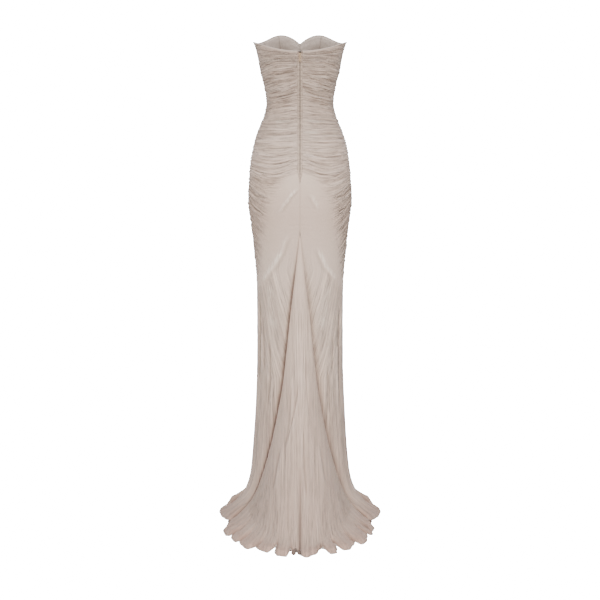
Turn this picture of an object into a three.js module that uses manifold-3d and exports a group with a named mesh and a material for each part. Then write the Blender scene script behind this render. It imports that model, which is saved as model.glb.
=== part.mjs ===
// Strapless evening gown of pleated silk chiffon: ruched from the bust to below the hip, narrow to the
// knee, with a godet let into the centre back that runs out into a train with a fluted hem.
// It stands as worn, hollow, with its train on the floor. Millimetres, +Z up, front towards -Y.
import * as THREE from "three";
import { mergeVertices } from "three/addons/utils/BufferGeometryUtils.js";
import Module from "manifold-3d";

const wasm = await Module();
wasm.setup();

// Driving sizes
const WAIST_HEIGHT = 1282; // over the floor that the train lies on
const CLOTH = 1.6; // the wall: crushed chiffon on its backing
const LINING = 1.3;
const SEAM_GAP = 0.36; // between two sewn edges
const GATHERS = 28; // ruched folds on each panel
const GATHER_DEPTH = 6;
const GATHER_WANDER = 0.3; // of a fold's own width
const PLEAT_SLOPE = 0.2; // a pleat's depth to its width
const PLEAT_DEPTH = 3.6; // at most
const FLUTE_LIFT = 14; // how far a hem flute stands off the floor
const FLUTE_REACH = 24; // how far it reaches out past the notches beside it

// Sections down the gown. Heights are over the floor, y is towards the train, x towards the wearer's left.
// side: at the side seam. front: at the centre front. back: the back panel's inner edge, which is beside
// the zip, then on the centre seam under it, then along the godet.
const SECTION_COLUMNS = [
  "sideZ", "half", "sideY", "frontY", "frontZ", "backX", "backY", "backZ",
];
const SECTIONS = [
  [1466, 146, 4, -104, 1472, 8, 92, 1430], // top edge
  [1442, 138, 4, -107, 1446, 8, 93, 1408],
  [1412, 131, 4, -108, 1412, 8, 93, 1384], // bust
  [1376, 125, 3, -100, 1375, 8, 89, 1358],
  [1344, 116.5, 2, -94, 1343, 8, 85, 1337],
  [1313, 110.5, 0, -89, 1312, 8, 81, 1316],
  [1282, 106, 0, -87, 1281, 8, 79, 1290], // waist
  [1245, 112.5, 0, -91, 1244, 8, 83, 1254],
  [1208, 127, 0, -98, 1207, 8, 97, 1212], // high hip
  [1171, 141, 0, -104, 1169, 8, 113, 1169],
  [1133, 150, 0, -107, 1130, 8, 124, 1129],
  [1096, 156.5, 0, -108, 1091, 8, 131, 1095],
  [1058, 160.5, 0, -108, 1050, 8, 135, 1066],
  [1021, 163, 0, -107, 1008, 0, 136, 1026], // just under the zip
  [983, 164.5, 0, -107, 964, 0, 134, 988], // hip
  [946, 161.5, 0, -108, 918, 0, 128, 942],
  [908, 156, 0, -109, 868, 0, 120, 886], // point of the godet
  [870, 151.5, 0, -110, 815, 8.5, 111, 806],
  [820, 146.5, 0, -111, 755, 18.5, 105, 718],
  [757, 140, 0, -113, 690, 28.5, 101, 634], // thigh
  [690, 136.5, 0, -114, 622, 36.5, 98, 556],
  [620, 136, 0, -116, 555, 44, 96, 486], // knee
  [545, 136, 0, -118, 485, 52, 94, 416],
  [465, 137, 0, -121, 412, 63, 93, 348],
  [385, 139, 0, -125, 340, 75, 92, 284],
  [305, 142.5, 0, -130, 270, 88, 92, 224],
  [230, 147.5, 1, -137, 203, 102, 92, 170],
  [165, 152.5, 3, -145, 143, 116, 94, 124], // ankle
  [112, 159, 6, -154, 93, 130, 99, 86],
  [72, 171, 11, -164, 54, 146, 111, 56],
  [40, 191, 18, -175, 26, 167, 134, 29],
  [15, 219, 28, -187, 9, 192, 168, 10],
  [2.2, 246, 40, -199, 2.2, 216, 205, 2.2], // hem
];
// The godet's centre, from its point to the end of the train: one row for each section from GODET_TOP on.
const TRAIN_COLUMNS = ["trainY", "trainZ"];
const TRAIN = [
  [120, 886],
  [117, 806],
  [119, 720],
  [124, 640],
  [131, 566],
  [141, 498],
  [155, 432],
  [176, 366],
  [206, 301],
  [247, 237],
  [301, 175],
  [366, 117],
  [437, 68],
  [504, 32],
  [556, 12],
  [588, 4],
  [609, 2.2],
];
const GODET_TOP = 16; // the section at the godet's point
const GODET_START = 16.28; // where the godet is wide enough to be cut as cloth
const ZIP_END = 12.6; // the section that the zip reaches down to
const HEM = SECTIONS.length - 1;

// Bust
const CUP = { x: 64, z: 1428, across: 42, tall: 40, out: 22 };
const HEART = { peak: 60, inside: 60, outside: 84, lift: 28, fades: 3 };

// Folds: the sections that each kind covers
const GATHER_TOP = 0.3;
const GATHER_END = 18.7;
const GATHER_PITCH = (GATHER_END - GATHER_TOP) / GATHERS;
const RUCHE = { from: 12.5, wide: 1.4, narrow: 0.35, fade: 0.35 };
const GATHER_UNEVEN = 0.28;
const RIDGE_SHARE = 0.55; // of a gather's depth, outside the panel's own line
const VALLEY_SHARE = 0.4; // and inside it
const PLEAT_FADE = [17.5, 21]; // pleats open out between these
const FLUTE_FADE = [29, 32];
const SKIRT_ROWS = [19.4, 20.2, 21.5, 22.8, 24, 25.3, 26.5, 27.5, 28.5, 29.3, 30, 30.7, 31.4, 32];

// Columns across each panel: ruched part outside and inside, pleats and hem flutes
const FRONT_CUT = { ruche: 18, back: 12, pleats: 14 };
const BACK_CUT = { ruche: 9, back: 5, pleats: 8 };
const GODET_CUT = { point: 6, upper: 14, opensAt: 21, pleats: 16 };
// Notches between the hem's flutes, counted in the columns of each panel's skirt
const FRONT_NOTCHES = [0, 4, 7, 12, 16, 21, 24, 28];
const BACK_NOTCHES = [0, 5, 10, 16];
const GODET_NOTCHES = [0, 4, 8, 12, 16, 22, 26, 30, 32];
const LINING_CUT = { rows: 5, columns: 20, depth: 3.1, clear: 2.6 };

// Zip
const PLACKET = { near: 1.7, far: 7.6, front: 0.4, back: -1.1 };
const CHAIN = { half: 2.2, front: -1.4, back: -3.1 };
const TAPE = { half: 7.4, front: -3.4, back: -4.2 };
const ZIP_ROWS = 13;
const WELD = 0.3; // joined metal pieces run this far into each other
const SLIDER = { section: 0.55, wide: 5.4, tall: 9, thick: 1.6, off: 0.5 };
const EAR = { wide: 0.8, deep: 3.2, tall: 2.8, apart: 3.4 };
const PIN_RADIUS = 0.55;
const PIN_OFF = SLIDER.thick + 2.1; // the pull's axis over the slider's back
const PULL = { bore: 0.85, barrel: 1.5, wide: 2.7, long: 21, thick: 1.1, tip: 4.4 };
const CLEAR_WIRE = 0.35;
const EYE = { bar: 1.2, far: 7, tall: 6, wire: 0.7 };
const HOOK = {
  section: 0.16, off: 0.5, root: 6, reach: 1.6, back: 2.4, wire: 0.7,
  mouth: EYE.wire + 2 * CLEAR_WIRE, tall: 2.4,
};

const SILK = { color: 0xc5b9af, roughness: 0.6, metalness: 0 };
const PALE_SILK = { color: 0xb8ab9f, roughness: 0.65, metalness: 0 };
const COIL = { color: 0x5d5346, roughness: 0.5, metalness: 0 };
const METAL = { color: 0x9a8b72, roughness: 0.35, metalness: 0.9 };

const smooth = (from, to, value) =>
  THREE.MathUtils.smoothstep(value, from, to);
const mix = THREE.MathUtils.lerp;
// The same scatter each time: a value from 0 to 1 for a pair of numbers
const scatter = (a, b) => {
  const wave = Math.sin(a * 12.9898 + b * 78.233) * 43758.5453;
  return wave - Math.floor(wave);
};

// A column of a table read between its rows along a smooth curve
function along(table, column, at) {
  const last = table.length - 1;
  const here = Math.min(Math.max(Math.floor(at), 0), last - 1);
  const t = at - here;
  const row = (i) => table[Math.min(Math.max(i, 0), last)][column];
  const [a, b, c, d] = [row(here - 1), row(here), row(here + 1), row(here + 2)];
  return (2 * b + (c - a) * t + (2 * a - 5 * b + 4 * c - d) * t * t
    + (3 * b - a - 3 * c + d) * t * t * t) / 2;
}

function section(at) {
  const found = {};
  SECTION_COLUMNS.forEach((name, column) => {
    found[name] = along(SECTIONS, column, at);
  });
  TRAIN_COLUMNS.forEach((name, column) => {
    found[name] = along(TRAIN, column, Math.max(at - GODET_TOP, 0));
  });
  found.backX = Math.max(found.backX, 0);
  return found;
}

// The sweetheart line: two arches that meet in a notch at the centre
function heartLift(x, at) {
  const away = Math.abs(x) - HEART.peak;
  const arch = away < 0
    ? 1 - (away / HEART.inside) ** 2
    : 0.5 + 0.5 * Math.cos(Math.PI * Math.min(away / HEART.outside, 1));
  return HEART.lift * arch * (1 - smooth(0, HEART.fades, at));
}

// Unfolded surfaces. across runs from 0 to 1: from the left side seam round the front to the right one,
// from the side seam to the centre back on a back panel, and from its seam to its centre on the godet.
function frontSurface(at, across) {
  const s = section(at);
  const turn = Math.PI * across;
  const round = Math.sin(turn);
  const x = s.half * Math.cos(turn);
  const z = mix(s.sideZ, s.frontZ, round * round) + heartLift(x, at);
  const cup = CUP.out * Math.exp(
    -(((Math.abs(x) - CUP.x) / CUP.across) ** 2) - ((z - CUP.z) / CUP.tall) ** 2,
  );
  return new THREE.Vector3(x, mix(s.sideY, s.frontY, round) - cup, z);
}

function backSurface(at, across) {
  const s = section(at);
  const turn = (Math.PI / 2) * across;
  const round = Math.sin(turn);
  return new THREE.Vector3(
    mix(s.backX, s.half, Math.cos(turn)),
    mix(s.sideY, s.backY, round),
    mix(s.sideZ, s.backZ, round * round),
  );
}

function godetSurface(at, across) {
  const s = section(at);
  const turn = (Math.PI / 2) * across;
  const round = Math.sin(turn);
  return new THREE.Vector3(
    s.backX * Math.cos(turn),
    mix(s.backY, s.trainY, round),
    mix(s.backZ, s.trainZ, round * round),
  );
}

// The direction across, down and out of a surface at a point. outward is 1 or -1.
function directions(surface, at, across, outward) {
  const step = 0.004;
  const [low, high] = [Math.max(across - step, 0), Math.min(across + step, 1)];
  const [above, below] = [Math.max(at - step, 0), Math.min(at + step, HEM)];
  const side = surface(at, high).sub(surface(at, low));
  const down = surface(below, across).sub(surface(above, across));
  const span = side.length() / (high - low);
  side.normalize();
  down.normalize();
  const out = new THREE.Vector3().crossVectors(side, down).normalize();
  return { side, down, out: out.multiplyScalar(outward), span };
}

// A slow wave across a panel, from -1 to 1, that starts elsewhere on each fold
const drift = (fold, across, turns) =>
  Math.sin(2 * Math.PI * (turns * across + scatter(fold, turns)));

// Gathers: the row number is even in a valley and odd on a ridge
function gatherLift(row, across, strength) {
  if (row === undefined) return 0;
  const uneven = 1 - GATHER_UNEVEN + GATHER_UNEVEN * drift(row, across, 1.4);
  const depth = GATHER_DEPTH * uneven * strength;
  return row % 2 ? depth * RIDGE_SHARE : -depth * VALLEY_SHARE;
}

// How strongly the cloth is ruched, by the share of the way in from the side seam: all the way in above
// the zip's end, and less and less of it below
function ruche(at, fromSide) {
  const reach = mix(RUCHE.wide, RUCHE.narrow, smooth(RUCHE.from, GATHER_END, at));
  return 1 - smooth(reach - RUCHE.fade, reach, fromSide);
}

// Pleats down the skirt, a ridge between two valleys each
function pleatLift(at, across, span, pleats, seed) {
  const number = across * pleats;
  const ridge = 0.5 - 0.5 * Math.cos(2 * Math.PI * number);
  const uneven = 0.6 + 0.4 * scatter(Math.floor(number), seed);
  const depth = Math.min(PLEAT_DEPTH, (PLEAT_SLOPE * span) / pleats);
  return depth * uneven * (ridge - 0.5) * smooth(...PLEAT_FADE, at);
}

// Flutes of the hem: notched where they meet, standing up between
function flute(at, across, notches, seed) {
  const last = notches.length - 1;
  const column = across * notches[last];
  const found = notches.findIndex((notch) => notch > column);
  const lobe = found < 0 ? last : found;
  const share = (column - notches[lobe - 1]) / (notches[lobe] - notches[lobe - 1]);
  const uneven = 0.7 + 0.3 * scatter(lobe, seed + 9);
  return Math.sin(Math.PI * share) * uneven * smooth(...FLUTE_FADE, at);
}

// A point of a folded panel: on its outer face, or inside it by a depth
function foldedPoint(panel, spot, depth) {
  const { at, across, row } = spot;
  const frame = directions(panel.surface, at, across, panel.outward);
  const strength = panel.ruche ? panel.ruche(at, across) : 0;
  const pleats = pleatLift(at, across, frame.span, panel.pleats, panel.seed);
  const fold = gatherLift(row, across, strength) + pleats;
  const wave = flute(at, across, panel.notches, panel.seed);
  const point = panel.surface(at, across);
  point.addScaledVector(frame.out, fold - depth);
  point.addScaledVector(frame.down, FLUTE_REACH * (wave - 0.5 * smooth(...FLUTE_FADE, at)));
  point.z += FLUTE_LIFT * wave;
  const edge = across === 0 ? 1 : across === 1 ? -1 : 0;
  point.addScaledVector(frame.side, (edge * SEAM_GAP) / 2);
  point.z = Math.max(point.z, depth > 0 ? 0 : CLOTH);
  return point;
}

// One row of a panel's points
function rowOf(panel, row, columns, depth) {
  return Array.from({ length: columns + 1 }, (_, column) => {
    const across = column / columns;
    const wander = row.fold === undefined ? 0
      : drift(row.fold + panel.seed, across, 1.1) * GATHER_WANDER * GATHER_PITCH / 2;
    const fromEdge = 4 * across * (1 - across);
    const at = Math.min(row.at + wander * fromEdge, HEM);
    return foldedPoint(panel, { at, across, row: row.fold }, depth);
  });
}

// Rows down the gown: the top edge, two for each gather, then the skirt's
const GATHER_ROWS = Array.from({ length: 2 * GATHERS + 1 }, (_, i) => ({
  at: GATHER_TOP + (i * GATHER_PITCH) / 2,
  fold: i,
}));
const ALL_ROWS = [{ at: 0 }, ...GATHER_ROWS, ...SKIRT_ROWS.map((at) => ({ at }))];

// Triangles between two rows of points, which may hold different numbers of points
function stitch(faces, a, b) {
  const share = (line) => {
    const ends = [0];
    for (let i = 1; i < line.length; i++)
      ends.push(ends[i - 1] + line[i].distanceTo(line[i - 1]));
    return ends.map((end) => end / ends[ends.length - 1]);
  };
  const [fromA, fromB] = [share(a), share(b)];
  let i = 0;
  let j = 0;
  while (i < a.length - 1 || j < b.length - 1) {
    const nextA = i < a.length - 1 ? (fromA[i] + fromA[i + 1]) / 2 : Infinity;
    const nextB = j < b.length - 1 ? (fromB[j] + fromB[j + 1]) / 2 : Infinity;
    if (nextA < nextB) {
      faces.push([a[i], b[j], a[i + 1]]);
      i += 1;
    } else {
      faces.push([a[i], b[j], b[j + 1]]);
      j += 1;
    }
  }
}

// A closed wall between an outer and an inner sheet, each a list of rows
function wallGeometry(outer, inner) {
  const faces = [];
  for (let i = 1; i < outer.length; i++) stitch(faces, outer[i - 1], outer[i]);
  for (let i = 1; i < inner.length; i++) {
    const turned = [];
    stitch(turned, inner[i - 1], inner[i]);
    turned.forEach(([a, b, c]) => faces.push([a, c, b]));
  }
  const first = (rows) => rows.map((row) => row[0]);
  const last = (rows) => rows.map((row) => row[row.length - 1]);
  stitch(faces, inner[0], outer[0]);
  stitch(faces, outer[outer.length - 1], inner[inner.length - 1]);
  stitch(faces, first(outer), first(inner));
  stitch(faces, last(inner), last(outer));
  return closedGeometry(faces);
}

// Faces that share their corner objects, as an indexed geometry that faces outwards
function closedGeometry(faces) {
  const numbers = new Map();
  const positions = [];
  const numberOf = (point) => {
    if (!numbers.has(point)) {
      numbers.set(point, numbers.size);
      positions.push(point.x, point.y, point.z);
    }
    return numbers.get(point);
  };
  const volume = faces.reduce((sum, [a, b, c]) => {
    const normal = new THREE.Vector3().crossVectors(b, c);
    return sum + a.dot(normal);
  }, 0);
  const index = faces.flatMap(([a, b, c]) =>
    (volume > 0 ? [a, b, c] : [a, c, b]).map(numberOf));
  const geometry = new THREE.BufferGeometry();
  geometry.setAttribute("position", new THREE.Float32BufferAttribute(positions, 3));
  geometry.setIndex(index);
  geometry.computeVertexNormals();
  return geometry;
}

const gown = new THREE.Group();
gown.name = "gown";
const worn = new THREE.Group(); // heights over the floor, hung so that the waist is the origin
worn.position.z = -WAIST_HEIGHT;
gown.add(worn);

function add(name, geometry, finish) {
  const mesh = new THREE.Mesh(geometry, new THREE.MeshStandardMaterial(finish));
  mesh.name = name;
  worn.add(mesh);
  return mesh;
}

function mirrored(geometry) {
  const copy = geometry.clone().scale(-1, 1, 1);
  const index = copy.index.array;
  for (let i = 0; i < index.length; i += 3)
    [index[i + 1], index[i + 2]] = [index[i + 2], index[i + 1]];
  copy.computeVertexNormals();
  return copy;
}

// Front, in one length from the sweetheart line to the hem
function frontPanel() {
  const panel = {
    surface: frontSurface, outward: 1,
    ruche: (at, across) => ruche(at, 2 * Math.min(across, 1 - across)),
    pleats: FRONT_CUT.pleats, notches: FRONT_NOTCHES, seed: 3,
  };
  const sheet = (ruche, depth) => ALL_ROWS.map((row) =>
    rowOf(panel, row, row.at < GATHER_END + 0.01 ? ruche : 2 * FRONT_CUT.pleats, depth));
  return wallGeometry(sheet(FRONT_CUT.ruche, 0), sheet(FRONT_CUT.back, CLOTH));
}
add("front_panel", frontPanel(), SILK);

// Back panels: ruched to the zip above, open along the godet below
function backPanel(seed) {
  const panel = {
    surface: backSurface, outward: -1, ruche,
    pleats: BACK_CUT.pleats, notches: BACK_NOTCHES, seed,
  };
  const sheet = (ruche, depth) => ALL_ROWS.map((row) =>
    rowOf(panel, row, row.at < GATHER_END + 0.01 ? ruche : 2 * BACK_CUT.pleats, depth));
  return wallGeometry(sheet(BACK_CUT.ruche, 0), sheet(BACK_CUT.back, CLOTH));
}
add("back_panel_left", backPanel(5), SILK);
add("back_panel_right", mirrored(backPanel(6)), SILK);

// Godet halves, joined down the centre of the train
function godetHalf(seed) {
  const panel = {
    surface: godetSurface, outward: -1,
    pleats: GODET_CUT.pleats, notches: GODET_NOTCHES, seed,
  };
  const rows = ALL_ROWS.filter((row) => row.at > GODET_START);
  const columnsAt = (at) => {
    if (at < GATHER_END + 0.01) return GODET_CUT.point;
    return at < GODET_CUT.opensAt ? GODET_CUT.upper : 2 * GODET_CUT.pleats;
  };
  const sheet = (inside) => rows.map(({ at }) => {
    const depth = inside ? Math.min(CLOTH, 0.45 * section(at).backX) : 0;
    return rowOf(panel, { at }, columnsAt(at), depth);
  });
  return wallGeometry(sheet(false), sheet(true));
}
add("godet_left", godetHalf(7), SILK);
add("godet_right", mirrored(godetHalf(8)), SILK);

// Lining of the front, which shows over the back neckline
function liningPanel() {
  const sheet = (depth) => Array.from({ length: LINING_CUT.rows + 1 }, (_, i) => {
    const at = 0.04 + (i / LINING_CUT.rows) * LINING_CUT.depth;
    return Array.from({ length: LINING_CUT.columns + 1 }, (_, column) => {
      const across = mix(0.02, 0.98, column / LINING_CUT.columns);
      const frame = directions(frontSurface, at, across, 1);
      return frontSurface(at, across).addScaledVector(frame.out, -depth);
    });
  });
  const outer = CLOTH + VALLEY_SHARE * GATHER_DEPTH + LINING_CUT.clear;
  return wallGeometry(sheet(outer), sheet(outer + LINING));
}
add("front_lining", liningPanel(), PALE_SILK);

// A strip down the centre back: from one x to another, between two depths off the cloth's surface,
// and narrower where the back panels draw together at the zip's end
function zipStrip(fromX, toX, front, back, top) {
  const sheet = (off) => Array.from({ length: ZIP_ROWS + 1 }, (_, i) => {
    const s = section(i === 0 ? top : (ZIP_END * i) / ZIP_ROWS);
    const room = s.backX - SEAM_GAP;
    return [fromX, toX].map((x) => new THREE.Vector3(
      THREE.MathUtils.clamp(x, -room, room), s.backY + off, s.backZ,
    ));
  });
  return wallGeometry(sheet(front), sheet(back));
}
const placket = zipStrip(PLACKET.near, PLACKET.far, PLACKET.front, PLACKET.back, 0);
add("placket_left", placket, SILK);
add("placket_right", mirrored(placket), SILK);
add("zip_tape", zipStrip(-TAPE.half, TAPE.half, TAPE.front, TAPE.back, 0.1), PALE_SILK);
add("zip_chain", zipStrip(-CHAIN.half, CHAIN.half, CHAIN.front, CHAIN.back, 0.3), COIL);

// Small metal pieces
function solidOf(geometry) {
  geometry.deleteAttribute("normal");
  geometry.deleteAttribute("uv");
  const merged = mergeVertices(geometry, 1e-4);
  return new wasm.Manifold(new wasm.Mesh({
    numProp: 3,
    vertProperties: merged.attributes.position.array,
    triVerts: merged.index.array,
  }));
}

function joined(pieces) {
  const solid = pieces.map(solidOf).reduce((all, piece) => all.add(piece));
  const mesh = solid.getMesh();
  const geometry = new THREE.BufferGeometry();
  geometry.setAttribute("position", new THREE.BufferAttribute(mesh.vertProperties, 3));
  geometry.setIndex(new THREE.BufferAttribute(mesh.triVerts, 1));
  geometry.computeVertexNormals();
  return geometry;
}

const block = (wide, deep, tall, x, y, z) =>
  new THREE.BoxGeometry(wide, deep, tall).translate(x, y, z);

// Slider: a plate on the plackets with two ears that hold the pull's pin
function sliderPiece() {
  const plate = block(SLIDER.wide, SLIDER.thick, SLIDER.tall, 0, SLIDER.thick / 2, 0);
  const earX = (EAR.apart + EAR.wide) / 2;
  const ears = [-earX, earX].map((x) => block(
    EAR.wide, EAR.deep + WELD, EAR.tall, x, SLIDER.thick + (EAR.deep - WELD) / 2, 0,
  ));
  const pin = new THREE.CylinderGeometry(PIN_RADIUS, PIN_RADIUS, EAR.apart + EAR.wide, 16);
  pin.rotateZ(Math.PI / 2).translate(0, PIN_OFF, 0);
  return joined([plate, ...ears, pin]);
}

// Pull: a barrel round the pin and a slim tab with a round end
function pullPiece() {
  const half = PULL.wide / 2;
  const barrel = new THREE.LatheGeometry([
    new THREE.Vector2(PULL.bore, -half),
    new THREE.Vector2(PULL.barrel, -half),
    new THREE.Vector2(PULL.barrel, half),
    new THREE.Vector2(PULL.bore, half),
    new THREE.Vector2(PULL.bore, -half),
  ], 24);
  barrel.rotateZ(Math.PI / 2);
  const tip = PULL.tip / 2;
  const outline = new THREE.Shape();
  outline.moveTo(-half, -(PULL.bore + WELD));
  outline.lineTo(-tip, -(PULL.long - tip));
  outline.absarc(0, -(PULL.long - tip), tip, Math.PI, 2 * Math.PI, false);
  outline.lineTo(half, -(PULL.bore + WELD));
  outline.closePath();
  const tab = new THREE.ExtrudeGeometry(outline, {
    depth: PULL.thick, bevelEnabled: false, curveSegments: 8,
  });
  tab.rotateX(Math.PI / 2).translate(0, PULL.thick / 2, 0);
  return joined([barrel, tab]);
}

// Hook: a flat wire that crosses the opening and turns back over itself
function hookPiece() {
  const { reach, root, back, wire, mouth, tall } = HOOK;
  const outline = new THREE.Shape();
  outline.moveTo(root, 0);
  outline.lineTo(-reach, 0);
  outline.absarc(-reach, wire + mouth / 2, wire + mouth / 2, 1.5 * Math.PI, 0.5 * Math.PI, true);
  outline.lineTo(-reach + back, 2 * wire + mouth);
  outline.lineTo(-reach + back, wire + mouth);
  outline.lineTo(-reach, wire + mouth);
  outline.absarc(-reach, wire + mouth / 2, mouth / 2, 0.5 * Math.PI, 1.5 * Math.PI, false);
  outline.lineTo(root, wire);
  outline.closePath();
  const hook = new THREE.ExtrudeGeometry(outline, {
    depth: tall, bevelEnabled: false, curveSegments: 8,
  });
  return hook.translate(0, 0, -tall / 2);
}

// Eye: a wire loop on the other side, its near bar inside the hook
function eyePiece() {
  const { bar, far, tall, wire } = EYE;
  const frameOf = (shape, x0, x1, z) => {
    shape.moveTo(x0, -z);
    shape.lineTo(x1, -z);
    shape.lineTo(x1, z);
    shape.lineTo(x0, z);
    shape.closePath();
    return shape;
  };
  const outline = frameOf(new THREE.Shape(), -far, -bar, tall / 2);
  outline.holes.push(frameOf(new THREE.Path(), wire - far, -bar - wire, tall / 2 - wire));
  const eye = new THREE.ExtrudeGeometry(outline, { depth: wire, bevelEnabled: false });
  return eye.rotateX(Math.PI / 2).translate(0, wire, 0);
}

function onPlackets(mesh, at, off) {
  const s = section(at);
  mesh.position.set(0, s.backY + PLACKET.front + off, s.backZ);
  return mesh;
}
onPlackets(add("zip_slider", sliderPiece(), METAL), SLIDER.section, SLIDER.off);
onPlackets(add("zip_pull", pullPiece(), METAL), SLIDER.section, SLIDER.off + PIN_OFF);
onPlackets(add("hook", hookPiece(), METAL), HOOK.section, HOOK.off);
onPlackets(add("eye", eyePiece(), METAL), HOOK.section, HOOK.off + HOOK.wire + CLEAR_WIRE);

export default gown;
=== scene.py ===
# %% [markdown]
# # A strapless gown of crushed and pleated silk chiffon
#
# The gown stands filled out with nobody in it, its back to the camera. A maker cuts five panels of
# pleated chiffon: a front, two backs and the two halves of a godet that runs out into a train. They are
# ruched on to a boned foundation down to below the hip, where the pleats are let go to fall straight to
# the floor.
#
# The solids already hold the panels with their largest folds. Here each panel is made again as one thin
# curved sheet on the same surface, fine enough for the small folds, and then comes what is sewn to it:
# rolled edges, lining, zip and stitching. Lengths in the tables are millimetres, heights are over the
# floor, as a pattern cutter would write them, and `placed` turns them into the frame's metres.

# %% Setting up
import math

import bpy
import numpy as np
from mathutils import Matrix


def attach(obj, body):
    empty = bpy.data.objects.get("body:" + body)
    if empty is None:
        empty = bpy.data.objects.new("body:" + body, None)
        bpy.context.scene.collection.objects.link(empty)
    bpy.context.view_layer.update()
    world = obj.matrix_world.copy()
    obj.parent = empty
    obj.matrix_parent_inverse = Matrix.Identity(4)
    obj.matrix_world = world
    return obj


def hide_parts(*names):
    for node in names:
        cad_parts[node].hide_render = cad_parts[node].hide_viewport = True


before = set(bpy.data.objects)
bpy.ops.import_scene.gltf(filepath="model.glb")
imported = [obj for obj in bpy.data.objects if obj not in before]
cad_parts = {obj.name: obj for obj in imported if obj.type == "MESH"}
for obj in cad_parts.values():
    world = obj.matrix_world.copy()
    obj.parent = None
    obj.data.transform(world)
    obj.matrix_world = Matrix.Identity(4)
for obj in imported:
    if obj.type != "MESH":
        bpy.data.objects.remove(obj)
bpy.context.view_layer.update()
print("solids:", len(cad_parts))

# %% [markdown]
# ## The shape that the panels are cut to
#
# A dressmaker's form is described by its girths. Each row below is one girth: how high it is at the side,
# front and back, how wide it is, and how far forward and back it reaches. A second table has the middle
# of the train. Reading between the rows along a smooth curve gives the whole body of the gown. The
# alternative, wrapping cloth round the solids, would carry their coarse facets into every fold.

# %% Girths
WAIST_HEIGHT = 1282
GIRTH_COLUMNS = ("side_z", "half", "side_y", "front_y", "front_z", "back_x", "back_y", "back_z")
SECTIONS = np.array([
    [1466, 146, 4, -104, 1472, 8, 92, 1430],
    [1442, 138, 4, -107, 1446, 8, 93, 1408],
    [1412, 131, 4, -108, 1412, 8, 93, 1384],
    [1376, 125, 3, -100, 1375, 8, 89, 1358],
    [1344, 116.5, 2, -94, 1343, 8, 85, 1337],
    [1313, 110.5, 0, -89, 1312, 8, 81, 1316],
    [1282, 106, 0, -87, 1281, 8, 79, 1290],
    [1245, 112.5, 0, -91, 1244, 8, 83, 1254],
    [1208, 127, 0, -98, 1207, 8, 97, 1212],
    [1171, 141, 0, -104, 1169, 8, 113, 1169],
    [1133, 150, 0, -107, 1130, 8, 124, 1129],
    [1096, 156.5, 0, -108, 1091, 8, 131, 1095],
    [1058, 160.5, 0, -108, 1050, 8, 135, 1066],
    [1021, 163, 0, -107, 1008, 0, 136, 1026],
    [983, 164.5, 0, -107, 964, 0, 134, 988],
    [946, 161.5, 0, -108, 918, 0, 128, 942],
    [908, 156, 0, -109, 868, 0, 120, 886],
    [870, 151.5, 0, -110, 815, 8.5, 111, 806],
    [820, 146.5, 0, -111, 755, 18.5, 105, 718],
    [757, 140, 0, -113, 690, 28.5, 101, 634],
    [690, 136.5, 0, -114, 622, 36.5, 98, 556],
    [620, 136, 0, -116, 555, 44, 96, 486],
    [545, 136, 0, -118, 485, 52, 94, 416],
    [465, 137, 0, -121, 412, 63, 93, 348],
    [385, 139, 0, -125, 340, 75, 92, 284],
    [305, 142.5, 0, -130, 270, 88, 92, 224],
    [230, 147.5, 1, -137, 203, 102, 92, 170],
    [165, 152.5, 3, -145, 143, 116, 94, 124],
    [112, 159, 6, -154, 93, 130, 99, 86],
    [72, 171, 11, -164, 54, 146, 111, 56],
    [40, 191, 18, -175, 26, 167, 134, 29],
    [15, 219, 28, -187, 9, 192, 168, 10],
    [2.2, 246, 40, -199, 2.2, 216, 205, 2.2],
])
# How far back the middle of the train reaches and how high it is, from the godet's point down
TRAIN = np.array([
    [120, 886], [117, 806], [119, 720], [124, 640], [131, 566], [141, 498], [155, 432], [176, 366],
    [206, 301], [247, 237], [301, 175], [366, 117], [437, 68], [504, 32], [556, 12], [588, 4], [609, 2.2],
])
# Places down the gown, counted in rows of the table of girths
HEM = len(SECTIONS) - 1
GODET_TOP = 16
GODET_START = 16.28
ZIP_END = 12.6
print("girths:", len(SECTIONS), "and", len(TRAIN), "points down the train")

# %% Reading between the girths


def smooth(start, end, value):
    """0 before start, 1 after end, and an even curve between."""
    t = np.clip((value - start) / (end - start), 0, 1)
    return t * t * (3 - 2 * t)


def mix(a, b, share):
    return a + (b - a) * share


def along(table, at):
    """A table read between its rows along a smooth curve."""
    last = len(table) - 1
    at = np.clip(at, 0, last)
    here = np.clip(np.floor(at).astype(int), 0, last - 1)
    t = (at - here)[..., None]
    a, b, c, d = (table[np.clip(here + i, 0, last)] for i in (-1, 0, 1, 2))
    return (2 * b + (c - a) * t + (2 * a - 5 * b + 4 * c - d) * t**2 + (3 * b - a - 3 * c + d) * t**3) / 2


def girth(at):
    """The girth's columns at a place between the rows, by name."""
    found = dict(zip(GIRTH_COLUMNS, np.moveaxis(along(SECTIONS, at), -1, 0)))
    found["back_x"] = np.maximum(found["back_x"], 0)
    found["train_y"], found["train_z"] = np.moveaxis(along(TRAIN, np.maximum(at - GODET_TOP, 0)), -1, 0)
    return found


print("skirt:", 2 * SECTIONS[:, 1].max(), "mm wide at the floor")

# %% [markdown]
# ## Front, backs and godet as surfaces
#
# Each panel is a surface that is read by two numbers: where it is down the gown and how far across the
# panel. The front bulges over the cups, and its upper edge is the sweetheart line: two arches that meet
# in a notch. The right back and the right half of the godet are the left ones mirrored. A body sculpted
# by hand would look as good, but the threads of the cloth couldn't be followed on it.

# %% Surfaces
CUP = {"x": 64, "z": 1428, "across": 42, "tall": 40, "out": 22}
HEART = {"peak": 60, "inside": 60, "outside": 84, "lift": 28, "fades": 3}


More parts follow.
